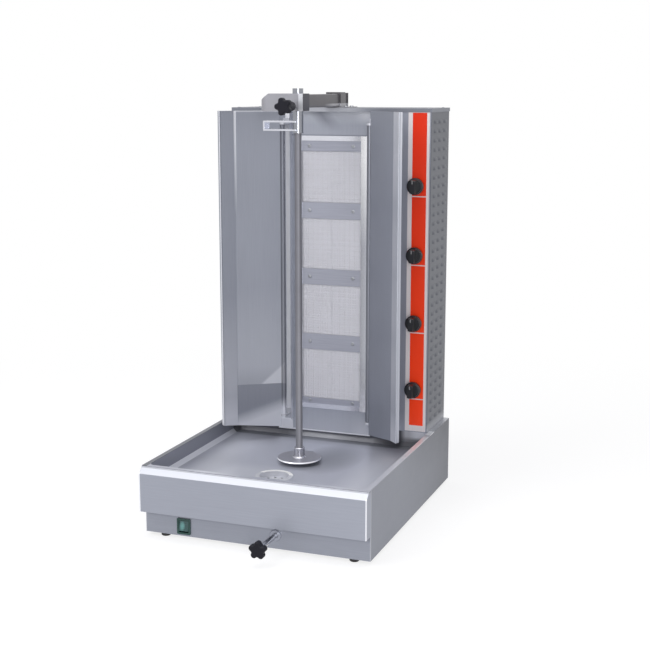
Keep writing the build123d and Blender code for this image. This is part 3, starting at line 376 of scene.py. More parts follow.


# Painted highlights along the wings' bends, edges, hems and outer strips, painted shade at the hinges and along
# the left wing's edge, and the painted reflection of the tray
def wingAccent(finish, base):
    x, y, z = finish.axes()
    side = x.calc("ABSOLUTE")
    left, right = x < 0.0, x > 0.0
    corners, tone, mirror = wingCorners(), wingTone, wingMirror
    bendPlace, edgePlace = corners["bend"].x, corners["edge"].x
    panel, strake = left * (side < bendPlace), left * (side > bendPlace)
    outer, flange = inside(side, (bendPlace, edgePlace)), side > edgePlace + tone["flangeFrom"]
    head, foot = ramp(z, tone["headRise"]), ramp(z, tone["footFall"])
    lip = side > edgePlace - tone["lip"]
    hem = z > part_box("left_wing")[1].z - tone["hemHeight"]

    def strip(name):
        spot = corners[name]
        return ((side - spot.x) ** 2 + (y - spot.y) ** 2) < (wingReach[name] * millimetre) ** 2

    mirrorTop = heightAt(x, mirror["top"])
    mirrored, clear = panel * (z < mirrorTop), panel * (z > mirrorTop)
    band = z - heightAt(x, mirror["band"])
    wedge = ramp(heightAt(x, mirror["wedge"]) + mirrorTop - z, mirror["wedgeRise"])
    bright = strongest(
        strip("bend") * left * ramp(z, tone["bendRise"]) * tone["bend"],
        strip("edge") * (left * lip * tone["leftLip"] + right * tone["rightEdge"]),
        panel * hem * tone["hem"],
        right * outer * (tone["outer"] + head * tone["outerHead"] + foot * tone["outerFoot"]),
        right * flange * (tone["flange"] + head * tone["flangeHead"]),
        right * ramp(z, tone["upperRise"]) * tone["upper"],
        strake * (ramp(z, tone["strakeFall"]) * tone["strake"] + foot * tone["strakeFoot"]),
        mirrored * ramp(band, mirror["glowFall"]) * mirror["glow"],
        clear * strongest(wedge * mirror["wedgeLight"], ramp(z, mirror["aboveFall"]) * mirror["above"]),
    )
    dark = strongest(
        strip("hinge") * (right + left * ramp(z, tone["hingeRise"])) * tone["hinge"],
        strip("edge") * left * (1 - lip) * tone["leftRule"],
        mirrored * ramp(band, mirror["gloomRise"]) * mirror["gloom"],
        clear * (1 - wedge) * ramp(z - mirrorTop, mirror["duskFall"]) * mirror["dusk"],
    )
    return finish.layered(base, [(bright, paintedLight), (dark, paintedShade)])


# Painted highlights on the frame's right border at both ends, with a duller painted tone between them
borderTone = {"width": 19.5 * millimetre, "dull": (0.50, 0.51, 0.56, 1), "bright": (0.97, 0.97, 1.0, 1),
              "headRise": (0.62, 0.84), "footFall": (0.31, 0.25)}


def frameAccent(finish, base):
    x, _, z = finish.axes()
    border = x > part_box("burner_frame")[1].x - borderTone["width"]
    shine = strongest(ramp(z, borderTone["headRise"]), ramp(z, borderTone["footFall"]))
    return finish.blend(border, base, finish.blend(shine, borderTone["dull"], borderTone["bright"]))


# Painted highlight on the right of the block's front, and painted shade on its right side face
blockTone = {"front": 0.75, "frontWidth": 11 * millimetre, "side": (0.085, 0.085, 0.10, 1),
             "sideDepth": 0.3 * millimetre}


def blockAccent(finish, base):
    x, y, _ = finish.axes()
    low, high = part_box("holder_block")
    front = (x > high.x - blockTone["frontWidth"]) * (y < low.y + skin)
    side = x > high.x - blockTone["sideDepth"]
    return finish.layered(base, [(front * blockTone["front"], paintedLight), (side, blockTone["side"])])


# A painted highlight on the rear of the rim
strainerTone = {"rimDepth": 0.8 * millimetre, "rearFrom": 12 * millimetre}


def strainerAccent(finish, base):
    _, y, z = finish.axes()
    low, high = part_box("drain_strainer")
    rear = y > (low.y + high.y) / 2 + strainerTone["rearFrom"]
    return finish.blend((z > high.z - strainerTone["rimDepth"]) * rear, base, white)


# Painted shade: the upper plates are a little darker than the lower ones
plateTone = {"shadedColour": (0.62, 0.020, 0.004, 1), "share": 0.8}


def plateAccent(finish, base):
    low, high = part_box("control_plates")
    upperShade = ramp(finish.axes()[2], (low.z, high.z))
    return finish.blend(upperShade * plateTone["share"], base, plateTone["shadedColour"])


# The left front panel's inner edge and foot catch the light
panelTone = {"edgeWidth": 11 * millimetre, "sideDepth": 0.3 * millimetre, "sideDim": 0.55,
             "footFall": (90 * millimetre, 30 * millimetre)}


def panelAccent(finish, base):
    x, _, z = finish.axes()
    low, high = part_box("left_front_panel")
    side = x > high.x - panelTone["sideDepth"]
    edge = (x > high.x - panelTone["edgeWidth"]) * (1 - side * panelTone["sideDim"])
    return finish.blend(strongest(edge, ramp(z - low.z, panelTone["footFall"])), base, paintedLight)


# Painted highlights on the bevel and corners, with a painted shadow line along the top
apronTone = {"corner": 2.4 * millimetre, "bevel": 0.42, "bevelHeight": 20 * millimetre, "bevelTilt": 0.2,
             "topDark": 0.45, "topHeight": 2.5 * millimetre}


def apronAccent(finish, base):
    x, y, z = finish.axes()
    low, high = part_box("front_apron")
    corner = (x.calc("ABSOLUTE") > high.x - apronTone["corner"]) * (y < low.y + apronTone["corner"])
    bevel = (finish.upward() > apronTone["bevelTilt"]) * (z > high.z - apronTone["bevelHeight"])
    top = z > high.z - apronTone["topHeight"]
    bright = strongest(corner, bevel * apronTone["bevel"])
    return finish.layered(base, [(bright, paintedLight), (top * apronTone["topDark"], paintedShade)])


# Painted shade on the base's sides towards the rear and at their top, and painted highlights on its deck and
# folded front edges
baseTone = {
    "sideDepth": 0.5 * millimetre, "rear": 0.6, "rearRise": (-0.10, 0.33),
    "head": 0.35, "headAlong": (-0.05, 0.12), "headRise": (0.08, 0.16),
    "deck": 0.45, "deckAlong": (0.10, 0.20), "fold": 0.3, "foldDepth": 3 * millimetre,
}


def baseAccent(finish, base):
    x, y, z = finish.axes()
    low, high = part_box("base_shell")
    side = x.calc("ABSOLUTE") > high.x - baseTone["sideDepth"]
    rear = ramp(y, baseTone["rearRise"]) ** 2 * baseTone["rear"]
    head = ramp(y, baseTone["headAlong"]) * ramp(z, baseTone["headRise"]) * baseTone["head"]
    deck = (finish.upward() > levelFace) * (z > high.z - skin) * ramp(y, baseTone["deckAlong"])
    fold = y < low.y + baseTone["foldDepth"]
    return finish.layered(base, [
        (side * (rear + head), paintedShade),
        (deck * baseTone["deck"], paintedLight),
        (fold * baseTone["fold"], paintedLight),
    ])


# Light off the base's rim on the foot of the cabinet's sides
sideTone = {"foot": 0.36, "footFall": (24 * millimetre, 7 * millimetre)}


def sideAccent(finish, base):
    height = finish.axes()[2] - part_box("cabinet_right_side")[0].z
    return finish.blend(ramp(height, sideTone["footFall"]) * sideTone["foot"], base, paintedLight)


# The apron's shadow on the plinth
plinthTone = {"shadow": 0.8, "shadowHeight": 16 * millimetre}


def plinthAccent(finish, base):
    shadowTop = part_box("front_apron")[0].z
    shadow = ramp(finish.axes()[2], (shadowTop - plinthTone["shadowHeight"], shadowTop))
    return finish.blend(shadow * plinthTone["shadow"], base, paintedShade)


# Painted light and shade on the tray: darker walls and brighter folds, painted reflections and darker patches
# on its floor, painted highlights on its rims, and its rear in the panels' painted shadow
trayTone = {
    "upright": 0.3, "wall": 0.5, "slope": 0.7, "rear": 0.5, "rearRise": (0.150, 0.215),
    "glow": {"share": 0.38, "across": (0.13, 0.19), "along": (0.15, 0.09)},
    "front": {"share": 0.3, "across": (0.0, -0.04), "along": (-0.05, -0.10)},
    "frontEnd": (-0.16, -0.12),
    "side": {"share": 0.2, "across": (-0.13, -0.19), "along": (0.03, -0.05)},
    "dull": 0.52, "dullMiddle": (0.062, 0.045), "dullReach": (0.08, 0.13),
    "behindFrom": 0.185, "behindColour": (0.045, 0.045, 0.055, 1), "floorRelief": 0.35,
    "shadow": 0.46, "leftShadow": 0.34, "middleShadow": 0.26, "rightShadow": 0.2,
    "leftAcross": (-0.08, -0.12), "middleAcross": (0.0, 0.06), "rightAcross": (0.13, 0.18),
    "gapAcross": (-0.146, -0.095), "gapHeight": 14 * millimetre,
    "panel": 0.28, "panelAcross": (0.183, 0.196), "panelHead": 0.32, "panelRise": (0.141, 0.150),
    "corner": 0.4, "cornerAcross": (0.205, 0.225),
    "rimFall": (0.19, 0.16), "leftRim": 0.85, "leftRimWidth": 13 * millimetre,
    "rightRim": 0.9, "rightRimRise": (-0.20, 0.15),
}


def patch(x, y, spot):
    return ramp(x, spot["across"]) * ramp(y, spot["along"]) * spot["share"]


def trayAccent(finish, base):
    x, y, z = finish.axes()
    low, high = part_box("drip_tray")
    tone, upward = trayTone, finish.upward()
    wall, level = upward < tone["upright"], upward > levelFace
    slope = inside(upward, (tone["upright"], levelFace))
    behind = y > tone["behindFrom"]
    shadow = tone["shadow"]
    for part in ("left", "middle", "right"):
        shadow = shadow + ramp(x, tone[part + "Across"]) * tone[part + "Shadow"]
    hingeGap = behind * inside(x, tone["gapAcross"]) * (z > low.z + tone["gapHeight"])
    panelHead = tone["panelHead"] + ramp(x, tone["cornerAcross"]) * tone["corner"]
    panelLight = ramp(x, tone["panelAcross"]) * (tone["panel"] + ramp(z, tone["panelRise"]) * panelHead)
    across, along = [(axis - middle) / reach for axis, middle, reach
                     in zip((x, y), tone["dullMiddle"], tone["dullReach"])]
    dull = strongest(1 - across * across - along * along, 0.0)
    rim = (z > high.z - skin) * ramp(y, tone["rimFall"])
    leftRim = rim * (x < tone["leftRimWidth"] - high.x)
    rightRim = rim * (x > 0.0) * ramp(y, tone["rightRimRise"])
    return finish.layered(base, [
        (wall * tone["wall"], paintedShade),
        (slope * tone["slope"], paintedLight),
        (ramp(y, tone["rearRise"]) * tone["rear"], paintedShade),
        (level * patch(x, y, tone["glow"]), paintedLight),
        (behind * shadow * (1 - level * tone["floorRelief"]), tone["behindColour"]),
        (hingeGap, paintedLight),
        (behind * panelLight, paintedLight),
        (level * dull * tone["dull"], paintedShade),
        (level * patch(x, y, tone["front"]) * ramp(x, tone["frontEnd"]), paintedLight),
        (level * patch(x, y, tone["side"]), paintedShade),
        (leftRim * tone["leftRim"], paintedShade),
        (rightRim * tone["rightRim"], paintedLight),
    ])


# Painted light: the spit is paler towards its foot, where it takes light from the tray
spitTone = {"pale": (0.55, 0.55, 0.58, 1), "share": 0.2, "fall": (0.55, 0.20)}


def spitAccent(finish, base):
    return finish.blend(ramp(finish.axes()[2], spitTone["fall"]) * spitTone["share"], base, spitTone["pale"])


# The lid's lip catches light over the burners
lidTone = {"lip": 0.3, "leftEnd": (-0.12, -0.10), "rightEnd": (0.10, 0.05)}


def lidAccent(finish, base):
    x, y, _ = finish.axes()
    lip = (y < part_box("cabinet_top")[0].y + skin) * ramp(x, lidTone["leftEnd"]) * ramp(x, lidTone["rightEnd"])
    return finish.blend(lip * lidTone["lip"], base, paintedLight)


# Light off the cabinet's lid under the arm's rear end
armTone = {"under": 0.4, "underTop": 0.967, "along": (0.13, 0.19)}


def armAccent(finish, base):
    _, y, z = finish.axes()
    under = (z < armTone["underTop"]) * ramp(y, armTone["along"])
    return finish.blend(under * armTone["under"], base, paintedLight)


# A painted highlight on the disc's edge, and its hub is turned smoother than the disc
discTone = {"edgeHeight": 4.2 * millimetre, "hubFrom": 5 * millimetre, "hubPolish": 0.16}


def discAccent(finish, base):
    height = finish.axes()[2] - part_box("spit_disc")[0].z
    return finish.blend((finish.upward() < levelFace) * (height < discTone["edgeHeight"]), base, paintedLight)


def hubPolish(finish):
    height = finish.axes()[2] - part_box("spit_disc")[0].z
    return (height > discTone["hubFrom"]) * discTone["hubPolish"]


# Painted light off the tray on the panel under the burners, painted highlights along its sill and head, the
# arm's painted shadow as a dark streak in the panel above them, and a painted shadow line over the frame
surroundTone = {
    "foot": 0.2, "footFall": (60 * millimetre, 0.0), "footRight": 0.2, "footAcross": (0.05, 0.08),
    "sill": 0.8, "sillHeight": 3 * millimetre,
    "head": 0.14, "headRise": (0.915, 0.940), "headMiddle": 0.08, "middleAcross": (0.0, 0.03),
    "headRight": 0.25, "rightAcross": (0.06, 0.085),
    "streak": 0.45, "streakTop": (-0.035, 0.951), "streakLean": 0.85, "streakReach": 0.032,
    "streakRise": (0.900, 0.925),
    "seam": 0.4, "frameShadowHeight": 3 * millimetre,
}


def surroundAccent(finish, base):
    x, _, z = finish.axes()
    tone = surroundTone
    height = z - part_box("burner_surround")[0].z
    foot = ramp(height, tone["footFall"]) * (tone["foot"] + ramp(x, tone["footAcross"]) * tone["footRight"])
    sill = (height < tone["sillHeight"]) * tone["sill"]
    middle, right = ramp(x, tone["middleAcross"]), ramp(x, tone["rightAcross"])
    head = tone["head"] + middle * tone["headMiddle"] + right * tone["headRight"]
    topX, topZ = tone["streakTop"]
    off = (x - topX - (topZ - z) * tone["streakLean"]).calc("ABSOLUTE")
    streak = strongest(1 - off / tone["streakReach"], 0.0) * ramp(z, tone["streakRise"])
    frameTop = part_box("burner_frame")[1].z
    seam = inside(z, (frameTop, frameTop + tone["frameShadowHeight"]))
    bright = strongest(foot, sill, ramp(z, tone["headRise"]) * head * (1 - streak))
    dark = strongest(streak * tone["streak"], seam * tone["seam"])
    return finish.layered(base, [(bright, paintedLight), (dark, paintedShade)])


steelTone = (0.345, 0.362, 0.422)
grainUp = (1100, 1100, 14)
grainAcross = (14, 1100, 1100)
grainDeep = (1100, 14, 1100)
ringsUp = (60, 60, 1600)
ringsDeep = (60, 1600, 60)

finishes = {}


def keep(maker, name, *values, **options):
    finishes[name] = maker(name, *values, **options)


keep(brushedSteel, "cabinetSteel", shade(steelTone, 0.92), 0.40, grainUp)
keep(brushedSteel, "surroundSteel", shade(steelTone, 0.92), 0.40, grainUp, accent=surroundAccent)
keep(brushedSteel, "panelSteel", shade(steelTone, 0.92), 0.40, grainUp, accent=panelAccent)
keep(brushedSteel, "wingSteel", shade(steelTone, 0.88), 0.38, grainUp, accent=wingAccent)
keep(brushedSteel, "apronSteel", shade(steelTone, 0.95), 0.42, grainAcross, accent=apronAccent)
keep(brushedSteel, "plinthSteel", shade(steelTone, 0.85), 0.42, grainAcross, accent=plinthAccent)
# Painted light: the hinge lugs take a paler, less metallic copy of the cabinet's steel
keep(brushedSteel, "lugSteel", (0.50, 0.51, 0.56), 0.40, grainUp, metal=0.3)
keep(brushedSteel, "lidSteel", shade(steelTone, 0.6), 0.42, grainAcross, accent=lidAccent)
# Painted shade: the base and the cabinet's sides take darker copies of the cabinet's steel
keep(brushedSteel, "baseSteel", shade(steelTone, 0.68), 0.42, grainDeep, accent=baseAccent)
keep(brushedSteel, "sideSteel", shade(steelTone, 0.37), 0.45, grainDeep, accent=sideAccent)
keep(brushedSteel, "traySteel", (0.475, 0.49, 0.565), 0.40, grainAcross, 0.05, 0.2, 0.45, trayAccent)
keep(polishedSteel, "frameSteel", (0.68, 0.69, 0.75), 0.20, frameAccent)
keep(brushedSteel, "trimSteel", (0.74, 0.69, 0.70), 0.35, grainUp, metal=0.2)
keep(brushedSteel, "bushSteel", shade(steelTone, 0.95), 0.42, grainUp)
keep(polishedSteel, "loopSteel", (0.68, 0.69, 0.75), 0.22)
keep(polishedSteel, "tubeSteel", (0.30, 0.31, 0.34), 0.24)
keep(brushedSteel, "strainerSteel", (0.62, 0.63, 0.68), 0.34, grainAcross, metal=0.35, accent=strainerAccent)
keep(polishedSteel, "blockSteel", (0.35, 0.35, 0.385), 0.42, blockAccent)
keep(turnedSteel, "spitSteel", (0.21, 0.21, 0.235), 0.58, ringsUp, spitAccent)
keep(polishedSteel, "discSteel", (0.44, 0.44, 0.48), 0.42, discAccent, hubPolish)
keep(turnedSteel, "rodSteel", (0.60, 0.60, 0.62), 0.18, ringsDeep)
keep(brushedSteel, "armSteel", (0.112, 0.107, 0.116), 0.36, grainDeep, accent=armAccent)
keep(brushedSteel, "innerSteel", (0.45, 0.45, 0.45), 0.42, grainAcross)
keep(brushedSteel, "barSteel", (0.32, 0.33, 0.39), 0.42, grainAcross, 0.14)
keep(polishedSteel, "wireSteel", (0.60, 0.60, 0.64), 0.4)
keep(polishedSteel, "screwSteel", (0.34, 0.35, 0.38), 0.3)
keep(piercedCeramic, "plaqueCeramic")
keep(enamel, "plateEnamel", (0.98, 0.052, 0.005), plateAccent)
keep(mouldedPlastic, "knobPlastic", (0.014, 0.015, 0.018), 0.34)
keep(mouldedPlastic, "starPlastic", (0.007, 0.007, 0.012), 0.5, shine=0.2)
keep(mouldedPlastic, "bezelPlastic", (0.010, 0.050, 0.042), 0.3)
keep(mouldedPlastic, "pointerPaint", (0.26, 0.26, 0.27), 0.5)
keep(litLens, "lens")
keep(mouldedPlastic, "footRubber", (0.018, 0.018, 0.018), 0.7, 500.0)
keep(mouldedPlastic, "motorPaint", (0.10, 0.11, 0.12), 0.45, 300.0)
keep(castBrass, "brass", (0.62, 0.44, 0.20))
print("finishes", len(finishes))

burners = 4


def perBurner(name):
    return [f"{name}_{i + 1}" for i in range(burners)]


nodeFinishes = {
    "cabinetSteel": ["cabinet_back", "control_panel"],
    "lugSteel": ["hinge_lugs"],
    "surroundSteel": ["burner_surround"],
    "panelSteel": ["left_front_panel"],
    "wingSteel": ["left_wing", "right_wing"],
    "apronSteel": ["front_apron"],
    "plinthSteel": ["plinth_panel"],
    "lidSteel": ["cabinet_top"],
    "baseSteel": ["base_shell"],
    "sideSteel": ["cabinet_left_side", "cabinet_right_side"],
    "traySteel": ["drip_tray"],
    "frameSteel": ["burner_frame"],
    "loopSteel": ["lift_loop"],
    "tubeSteel": ["holder_tube"],
    "strainerSteel": ["drain_strainer"],
    "blockSteel": ["holder_block"],
    "bushSteel": ["rod_bush"],
    "spitSteel": ["spit_shaft", "drive_socket"],
    "discSteel": ["spit_disc"],
    "rodSteel": ["adjust_rod", "clamp_screw", "slide_rails", *perBurner("valve_spindle")],
    "armSteel": ["top_arm", "arm_guide"],
    "innerSteel": ["base_plate", "grease_cup", "carriage_plate", "slot_shutter", "gas_manifold",
                   *perBurner("burner_housing")],
    "barSteel": ["burner_bars"],
    "wireSteel": ["mesh_guards"],
    "plaqueCeramic": ["ceramic_plaques"],
    "plateEnamel": ["control_plates"],
    "starPlastic": ["adjust_knob", "clamp_knob"],
    "knobPlastic": ["cable_gland", *perBurner("gas_knob")],
    "bezelPlastic": ["switch_bezel"],
    "lens": ["switch_rocker"],
    "footRubber": ["feet"],
    "motorPaint": ["gear_motor"],
    "brass": ["gas_valves", "feed_pipes", "gas_inlet", "top_bush"],
}
for finishName, names in nodeFinishes.items():
    for name in names:
        nodes[name].data.materials.clear()
        nodes[name].data.materials.append(finishes[finishName])
print("dressed", sum(len(names) for names in nodeFinishes.values()), "of", len(nodes))


# Geometry trees
def newTree(name, inputs):
    tree = bpy.data.node_groups.new(name, "GeometryNodeTree")
    tree.interface.new_socket("Geometry", in_out="INPUT", socket_type="NodeSocketGeometry")
    for label, value in inputs.items():
        kind = "NodeSocketInt" if isinstance(value, int) else "NodeSocketFloat"
        tree.interface.new_socket(label, in_out="INPUT", socket_type=kind).default_value = value
    tree.interface.new_socket("Geometry", in_out="OUTPUT", socket_type="NodeSocketGeometry")
    graph = Graph(tree)
    entry = tree.nodes.new("NodeGroupInput")
    ports = {label: Wire(graph, entry.outputs[label]) for label in ["Geometry", *inputs]}
    return graph, ports


def endTree(graph, geometry, material):
    plain = graph.add("GeometryNodeRealizeInstances", inputs={"Geometry": geometry})
    painted = graph.add("GeometryNodeSetMaterial", inputs={"Geometry": plain, "Material": material})
    graph.tree.links.new(painted.socket, graph.tree.nodes.new("NodeGroupOutput").inputs[0])


# Copies a shape to a seed's points, each turned the way that its point faces
def onPoints(graph, points, shape, axis, pivot="AUTO"):
    facing = graph.add("GeometryNodeInputNamedAttribute", {"data_type": "FLOAT_VECTOR"}, {"Name": "facing"})
    settings = {"axis": axis, "pivot_axis": pivot}
    turn = graph.add("FunctionNodeAlignRotationToVector", settings, {"Vector": facing})
    values = {"Points": points, "Instance": shape, "Rotation": turn}
    return graph.add("GeometryNodeInstanceOnPoints", inputs=values)


# Runs a tree on a host object and keeps the plain mesh
def growPiece(name, graph, sizes, seed=None):
    piece = bpy.data.objects.new(name, seed or bpy.data.meshes.new(name))
    bpy.context.scene.collection.objects.link(piece)
    modifier = piece.modifiers.new("grow", "NODES")
    modifier.node_group = graph.tree
    for item in graph.tree.interface.items_tree:
        if item.in_out == "INPUT" and item.name in sizes:
            modifier[item.identifier] = sizes[item.name]
    depsgraph = bpy.context.evaluated_depsgraph_get()
    mesh = bpy.data.meshes.new_from_object(piece.evaluated_get(depsgraph), depsgraph=depsgraph)
    piece.modifiers.remove(modifier)
    piece.data = mesh
    mesh.name = name
    return piece


def finishPiece(piece, body):
    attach(piece, body)
    return piece


# Woven wire before the burners: two sets of waved wires, instanced burner by burner
guardWeave = {"pitch": 6.4 * millimetre, "wire": 1.1 * millimetre, "wave": 0.2 * millimetre, "sides": 5}
plaqueLow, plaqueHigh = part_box("ceramic_plaques")
guardLow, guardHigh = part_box("mesh_guards")
plaqueHeight = 132 * millimetre
burnerPitch = (plaqueHigh.z - plaqueLow.z - plaqueHeight) / (burners - 1)
burnerHeights = [plaqueLow.z + plaqueHeight / 2 + i * burnerPitch for i in range(burners)]
guardSizes = {
    "Width": guardHigh.x - guardLow.x - guardWeave["pitch"],
    "Height": plaqueHeight,
    "Pitch": guardWeave["pitch"],
    "Wire": guardWeave["wire"],
    "Wave": guardWeave["wave"],
    "Burners": burners,
    "Burner pitch": burnerPitch,
}


def weaveTree():
    graph, port = newTree("wovenGuard", guardSizes)
    parity = graph.add("GeometryNodeInputIndex") % 2.0
    ring = {"Resolution": guardWeave["sides"], "Radius": port["Wire"] / 2}
    profile = graph.add("GeometryNodeCurvePrimitiveCircle", inputs=ring)

    def vector(x, y, z):
        return graph.add("ShaderNodeCombineXYZ", inputs=[x, y, z])

    def wires(length, spread, along, across, turn, sign):
        half = [length * (0.5 * step) for step in along]
        ends = {"Start": vector(*[h * -1 for h in half]), "End": vector(*half)}
        line = graph.add("GeometryNodeCurvePrimitiveLine", inputs=ends)
        knots = {"Curve": line, "Count": length / port["Pitch"] + 1}
        bends = graph.add("GeometryNodeResampleCurve", inputs=knots)
        wave = vector(0, port["Wave"] * sign * (1 - 2 * parity), 0)
        waved = graph.add("GeometryNodeSetPosition", inputs={"Geometry": bends, "Offset": wave})
        sweep = {"Curve": waved, "Profile Curve": profile, "Fill Caps": True}
        wire = graph.add("GeometryNodeCurveToMesh", inputs=sweep)
        first = vector(*[spread * (-0.5 * step) for step in across])
        step = vector(*[port["Pitch"] * s for s in across])
        rowInputs = {"Count": spread / port["Pitch"] + 1, "Start Location": first, "Offset": step}
        row = graph.add("GeometryNodeMeshLine", inputs=rowInputs)
        flips = vector(*[parity * (math.pi * t) for t in turn])
        copies = {"Points": row, "Instance": wire, "Rotation": flips}
        return graph.add("GeometryNodeInstanceOnPoints", inputs=copies)

    level = wires(port["Width"], port["Height"], (1, 0, 0), (0, 0, 1), (1, 0, 0), 1)
    upright = wires(port["Height"], port["Width"], (0, 0, 1), (1, 0, 0), (0, 0, 1), -1)
    guard = graph.add("GeometryNodeJoinGeometry", inputs=[level])
    graph.tree.links.new(upright.socket, guard.socket.node.inputs[0])
    stackInputs = {"Count": port["Burners"], "Offset": vector(0, 0, port["Burner pitch"])}
    stack = graph.add("GeometryNodeMeshLine", inputs=stackInputs)
    guards = graph.add("GeometryNodeInstanceOnPoints", inputs={"Points": stack, "Instance": guard})
    endTree(graph, guards, finishes["wireSteel"])
    return graph


wovenGuards = growPiece("wovenGuards", weaveTree(), guardSizes)
wovenGuards.data.transform(Matrix.Translation((0, (guardLow.y + guardHigh.y) / 2, burnerHeights[0])))
finishPiece(wovenGuards, "cabinet")
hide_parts("mesh_guards")
print("woven guards", len(wovenGuards.data.polygons), "faces")

# Screw heads, one tree for every group: a rise as a share of the height, then the width left above it
screwShape = {"sides": 18, "body": 0.55, "dome": (0.3, 0.86), "crown": (0.15, 0.72), "socket": (-0.5, 0.92)}


def screwTree():
    graph, port = newTree("screwHeads", {"Radius": 0.004, "Height": 0.002, "Recess": 0.5})
    bodyDepth = port["Height"] * screwShape["body"]
    discSizes = {"Vertices": screwShape["sides"], "Radius": port["Radius"], "Depth": bodyDepth}
    disc = graph.add("GeometryNodeMeshCylinder", inputs=discSizes)
    normal = graph.add("ShaderNodeSeparateXYZ", inputs=[graph.add("GeometryNodeInputNormal")], output=2)

    def step(mesh, selection, rise, scale):
        risen = graph.add("GeometryNodeExtrudeMesh", inputs={
            "Mesh": mesh, "Selection": selection, "Offset Scale": rise, "Individual": False})
        lid = graph.sibling(risen, "Top")
        values = {"Geometry": risen, "Selection": lid, "Scale": scale}
        return graph.add("GeometryNodeScaleElements", inputs=values), lid

    head, lid = disc, normal > levelFace
    for part in ("dome", "crown"):
        rise, scale = screwShape[part]
        head, lid = step(head, lid, port["Height"] * rise, scale)
    head, lid = step(head, lid, 0.0, port["Recess"])
    rise, scale = screwShape["socket"]
    head, lid = step(head, lid, port["Height"] * rise, scale)
    endTree(graph, onPoints(graph, port["Geometry"], head, "Z"), finishes["screwSteel"])
    return graph


screws = screwTree()


def pointSeed(name, points, ways):
    seed = bpy.data.meshes.new(name)
    seed.from_pydata([tuple(p) for p in points], [], [])
    facing = seed.attributes.new("facing", "FLOAT_VECTOR", "POINT")
    for i, way in enumerate(ways):
        facing.data[i].vector = way
    return seed


def addScrews(name, points, facing, group):
    sizes = {"Radius": group["radius"] * millimetre, "Height": group["height"] * millimetre,
             "Recess": group["recess"]}
    seed = pointSeed(name, points, [facing] * len(points))
    return finishPiece(growPiece(name, screws, sizes, seed), "cabinet")


def cornerPoints(low, high, inset, z):
    return [(x, y, z) for x in (low.x + inset, high.x - inset) for y in (low.y + inset, high.y - inset)]


barLow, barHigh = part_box("burner_bars")
barScrews = {"halfSpan": 57 * millimetre, "barHeight": 40 * millimetre,
             "radius": 4.6, "height": 2.4, "recess": 0.5}
barMiddles = [h + burnerPitch / 2 for h in burnerHeights[:-1]]
barMiddles.append((barLow.z + barMiddles[0] - burnerPitch + barScrews["barHeight"] / 2) / 2)
barMiddles.append((barHigh.z + barMiddles[2] + burnerPitch - barScrews["barHeight"] / 2) / 2)
barPoints = [(side * barScrews["halfSpan"], barLow.y, z) for z in barMiddles for side in (-1, 1)]
addScrews("barScrews", barPoints, (0, -1, 0), barScrews)

backLow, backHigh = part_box("cabinet_back")
backScrews = {"inset": 9 * millimetre, "rows": 6, "radius": 4.0, "height": 1.8, "recess": 0.5}
backStep = (backHigh.z - backLow.z - 2 * backScrews["inset"]) / (backScrews["rows"] - 1)
backPoints = []
for row in range(backScrews["rows"]):
    z = backLow.z + backScrews["inset"] + row * backStep
    for x in (backLow.x + backScrews["inset"], backHigh.x - backScrews["inset"]):
        backPoints.append((x, backHigh.y, z))
addScrews("backScrews", backPoints, (0, 1, 0), backScrews)

guideLow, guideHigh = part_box("arm_guide")
guideBolts = {"inset": 11 * millimetre, "footTop": 2.7 * millimetre,
              "radius": 5.0, "height": 3.2, "recess": 0.62}
guidePoints = cornerPoints(guideLow, guideHigh, guideBolts["inset"], guideLow.z + guideBolts["footTop"])
addScrews("guideBolts", guidePoints, (0, 0, 1), guideBolts)

lidLow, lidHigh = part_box("cabinet_top")
lidScrews = {"inset": 14 * millimetre, "radius": 3.6, "height": 1.6, "recess": 0.5}
lidPoints = cornerPoints(lidLow, lidHigh, lidScrews["inset"], lidHigh.z)
addScrews("lidScrews", lidPoints, (0, 0, 1), lidScrews)
print("screws placed")

# Pressed louvres over the side slots: a bulged patch, open below
louvre = {
    "length": 30, "height": 9, "depth": 3.2, "columns": 3, "rows": 34, "columnPitch": 42, "rowPitch": 22,
    "steps": (9, 5), "rise": 0.55,  # grid over the hood, and the share of its height above its point
}


def louvreTree(material):
    graph, port = newTree("louvres", {"Length": 0.03, "Height": 0.009, "Depth": 0.003})
    columns, rows = louvre["steps"]
    gridSizes = {"Size X": 2.0, "Size Y": 1.0, "Vertices X": columns, "Vertices Y": rows}
    grid = graph.add("GeometryNodeMeshGrid", inputs=gridSizes)
    along = graph.add("ShaderNodeSeparateXYZ", inputs=[graph.add("GeometryNodeInputPosition")])
    down = graph.sibling(along, 1) + 0.5
    bulge = (down * (math.pi / 2)).calc("SINE") * (1 - along ** 4)
    place = graph.add("ShaderNodeCombineXYZ", inputs=[
        bulge * port["Depth"], along * port["Length"] * 0.5, (louvre["rise"] - down) * port["Height"]])
    hood = graph.add("GeometryNodeSetPosition", inputs={"Geometry": grid, "Position": place})
    smooth = graph.add("GeometryNodeSetShadeSmooth", inputs={"Geometry": hood})
    endTree(graph, onPoints(graph, port["Geometry"], smooth, "X", "Z"), material)
    return graph


def centred(count, pitch):
    return [(i - (count - 1) / 2) * pitch * millimetre for i in range(count)]


sideLow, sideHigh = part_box("cabinet_right_side")
sideMiddle = (sideLow + sideHigh) / 2
louvrePoints, louvreWays = [], []
for way in (-1, 1):
    for along in centred(louvre["columns"], louvre["columnPitch"]):
        for up in centred(louvre["rows"], louvre["rowPitch"]):
            louvrePoints.append((way * sideHigh.x, sideMiddle.y + along, sideMiddle.z + up))
            louvreWays.append((way, 0, 0))
louvreSizes = {label: louvre[label.lower()] * millimetre for label in ("Length", "Height", "Depth")}
louvreSeed = pointSeed("sideLouvres", louvrePoints, louvreWays)
sideLouvres = growPiece("sideLouvres", louvreTree(finishes["sideSteel"]), louvreSizes, louvreSeed)
finishPiece(sideLouvres, "cabinet")
print("louvres pressed", len(louvrePoints))

# Threads: a spiral ridge on the clamp screw and on the gas inlet
threadShape = {"steps": 28, "sides": 3, "ridge": 0.42}  # the ridge's radius is a share of the pitch


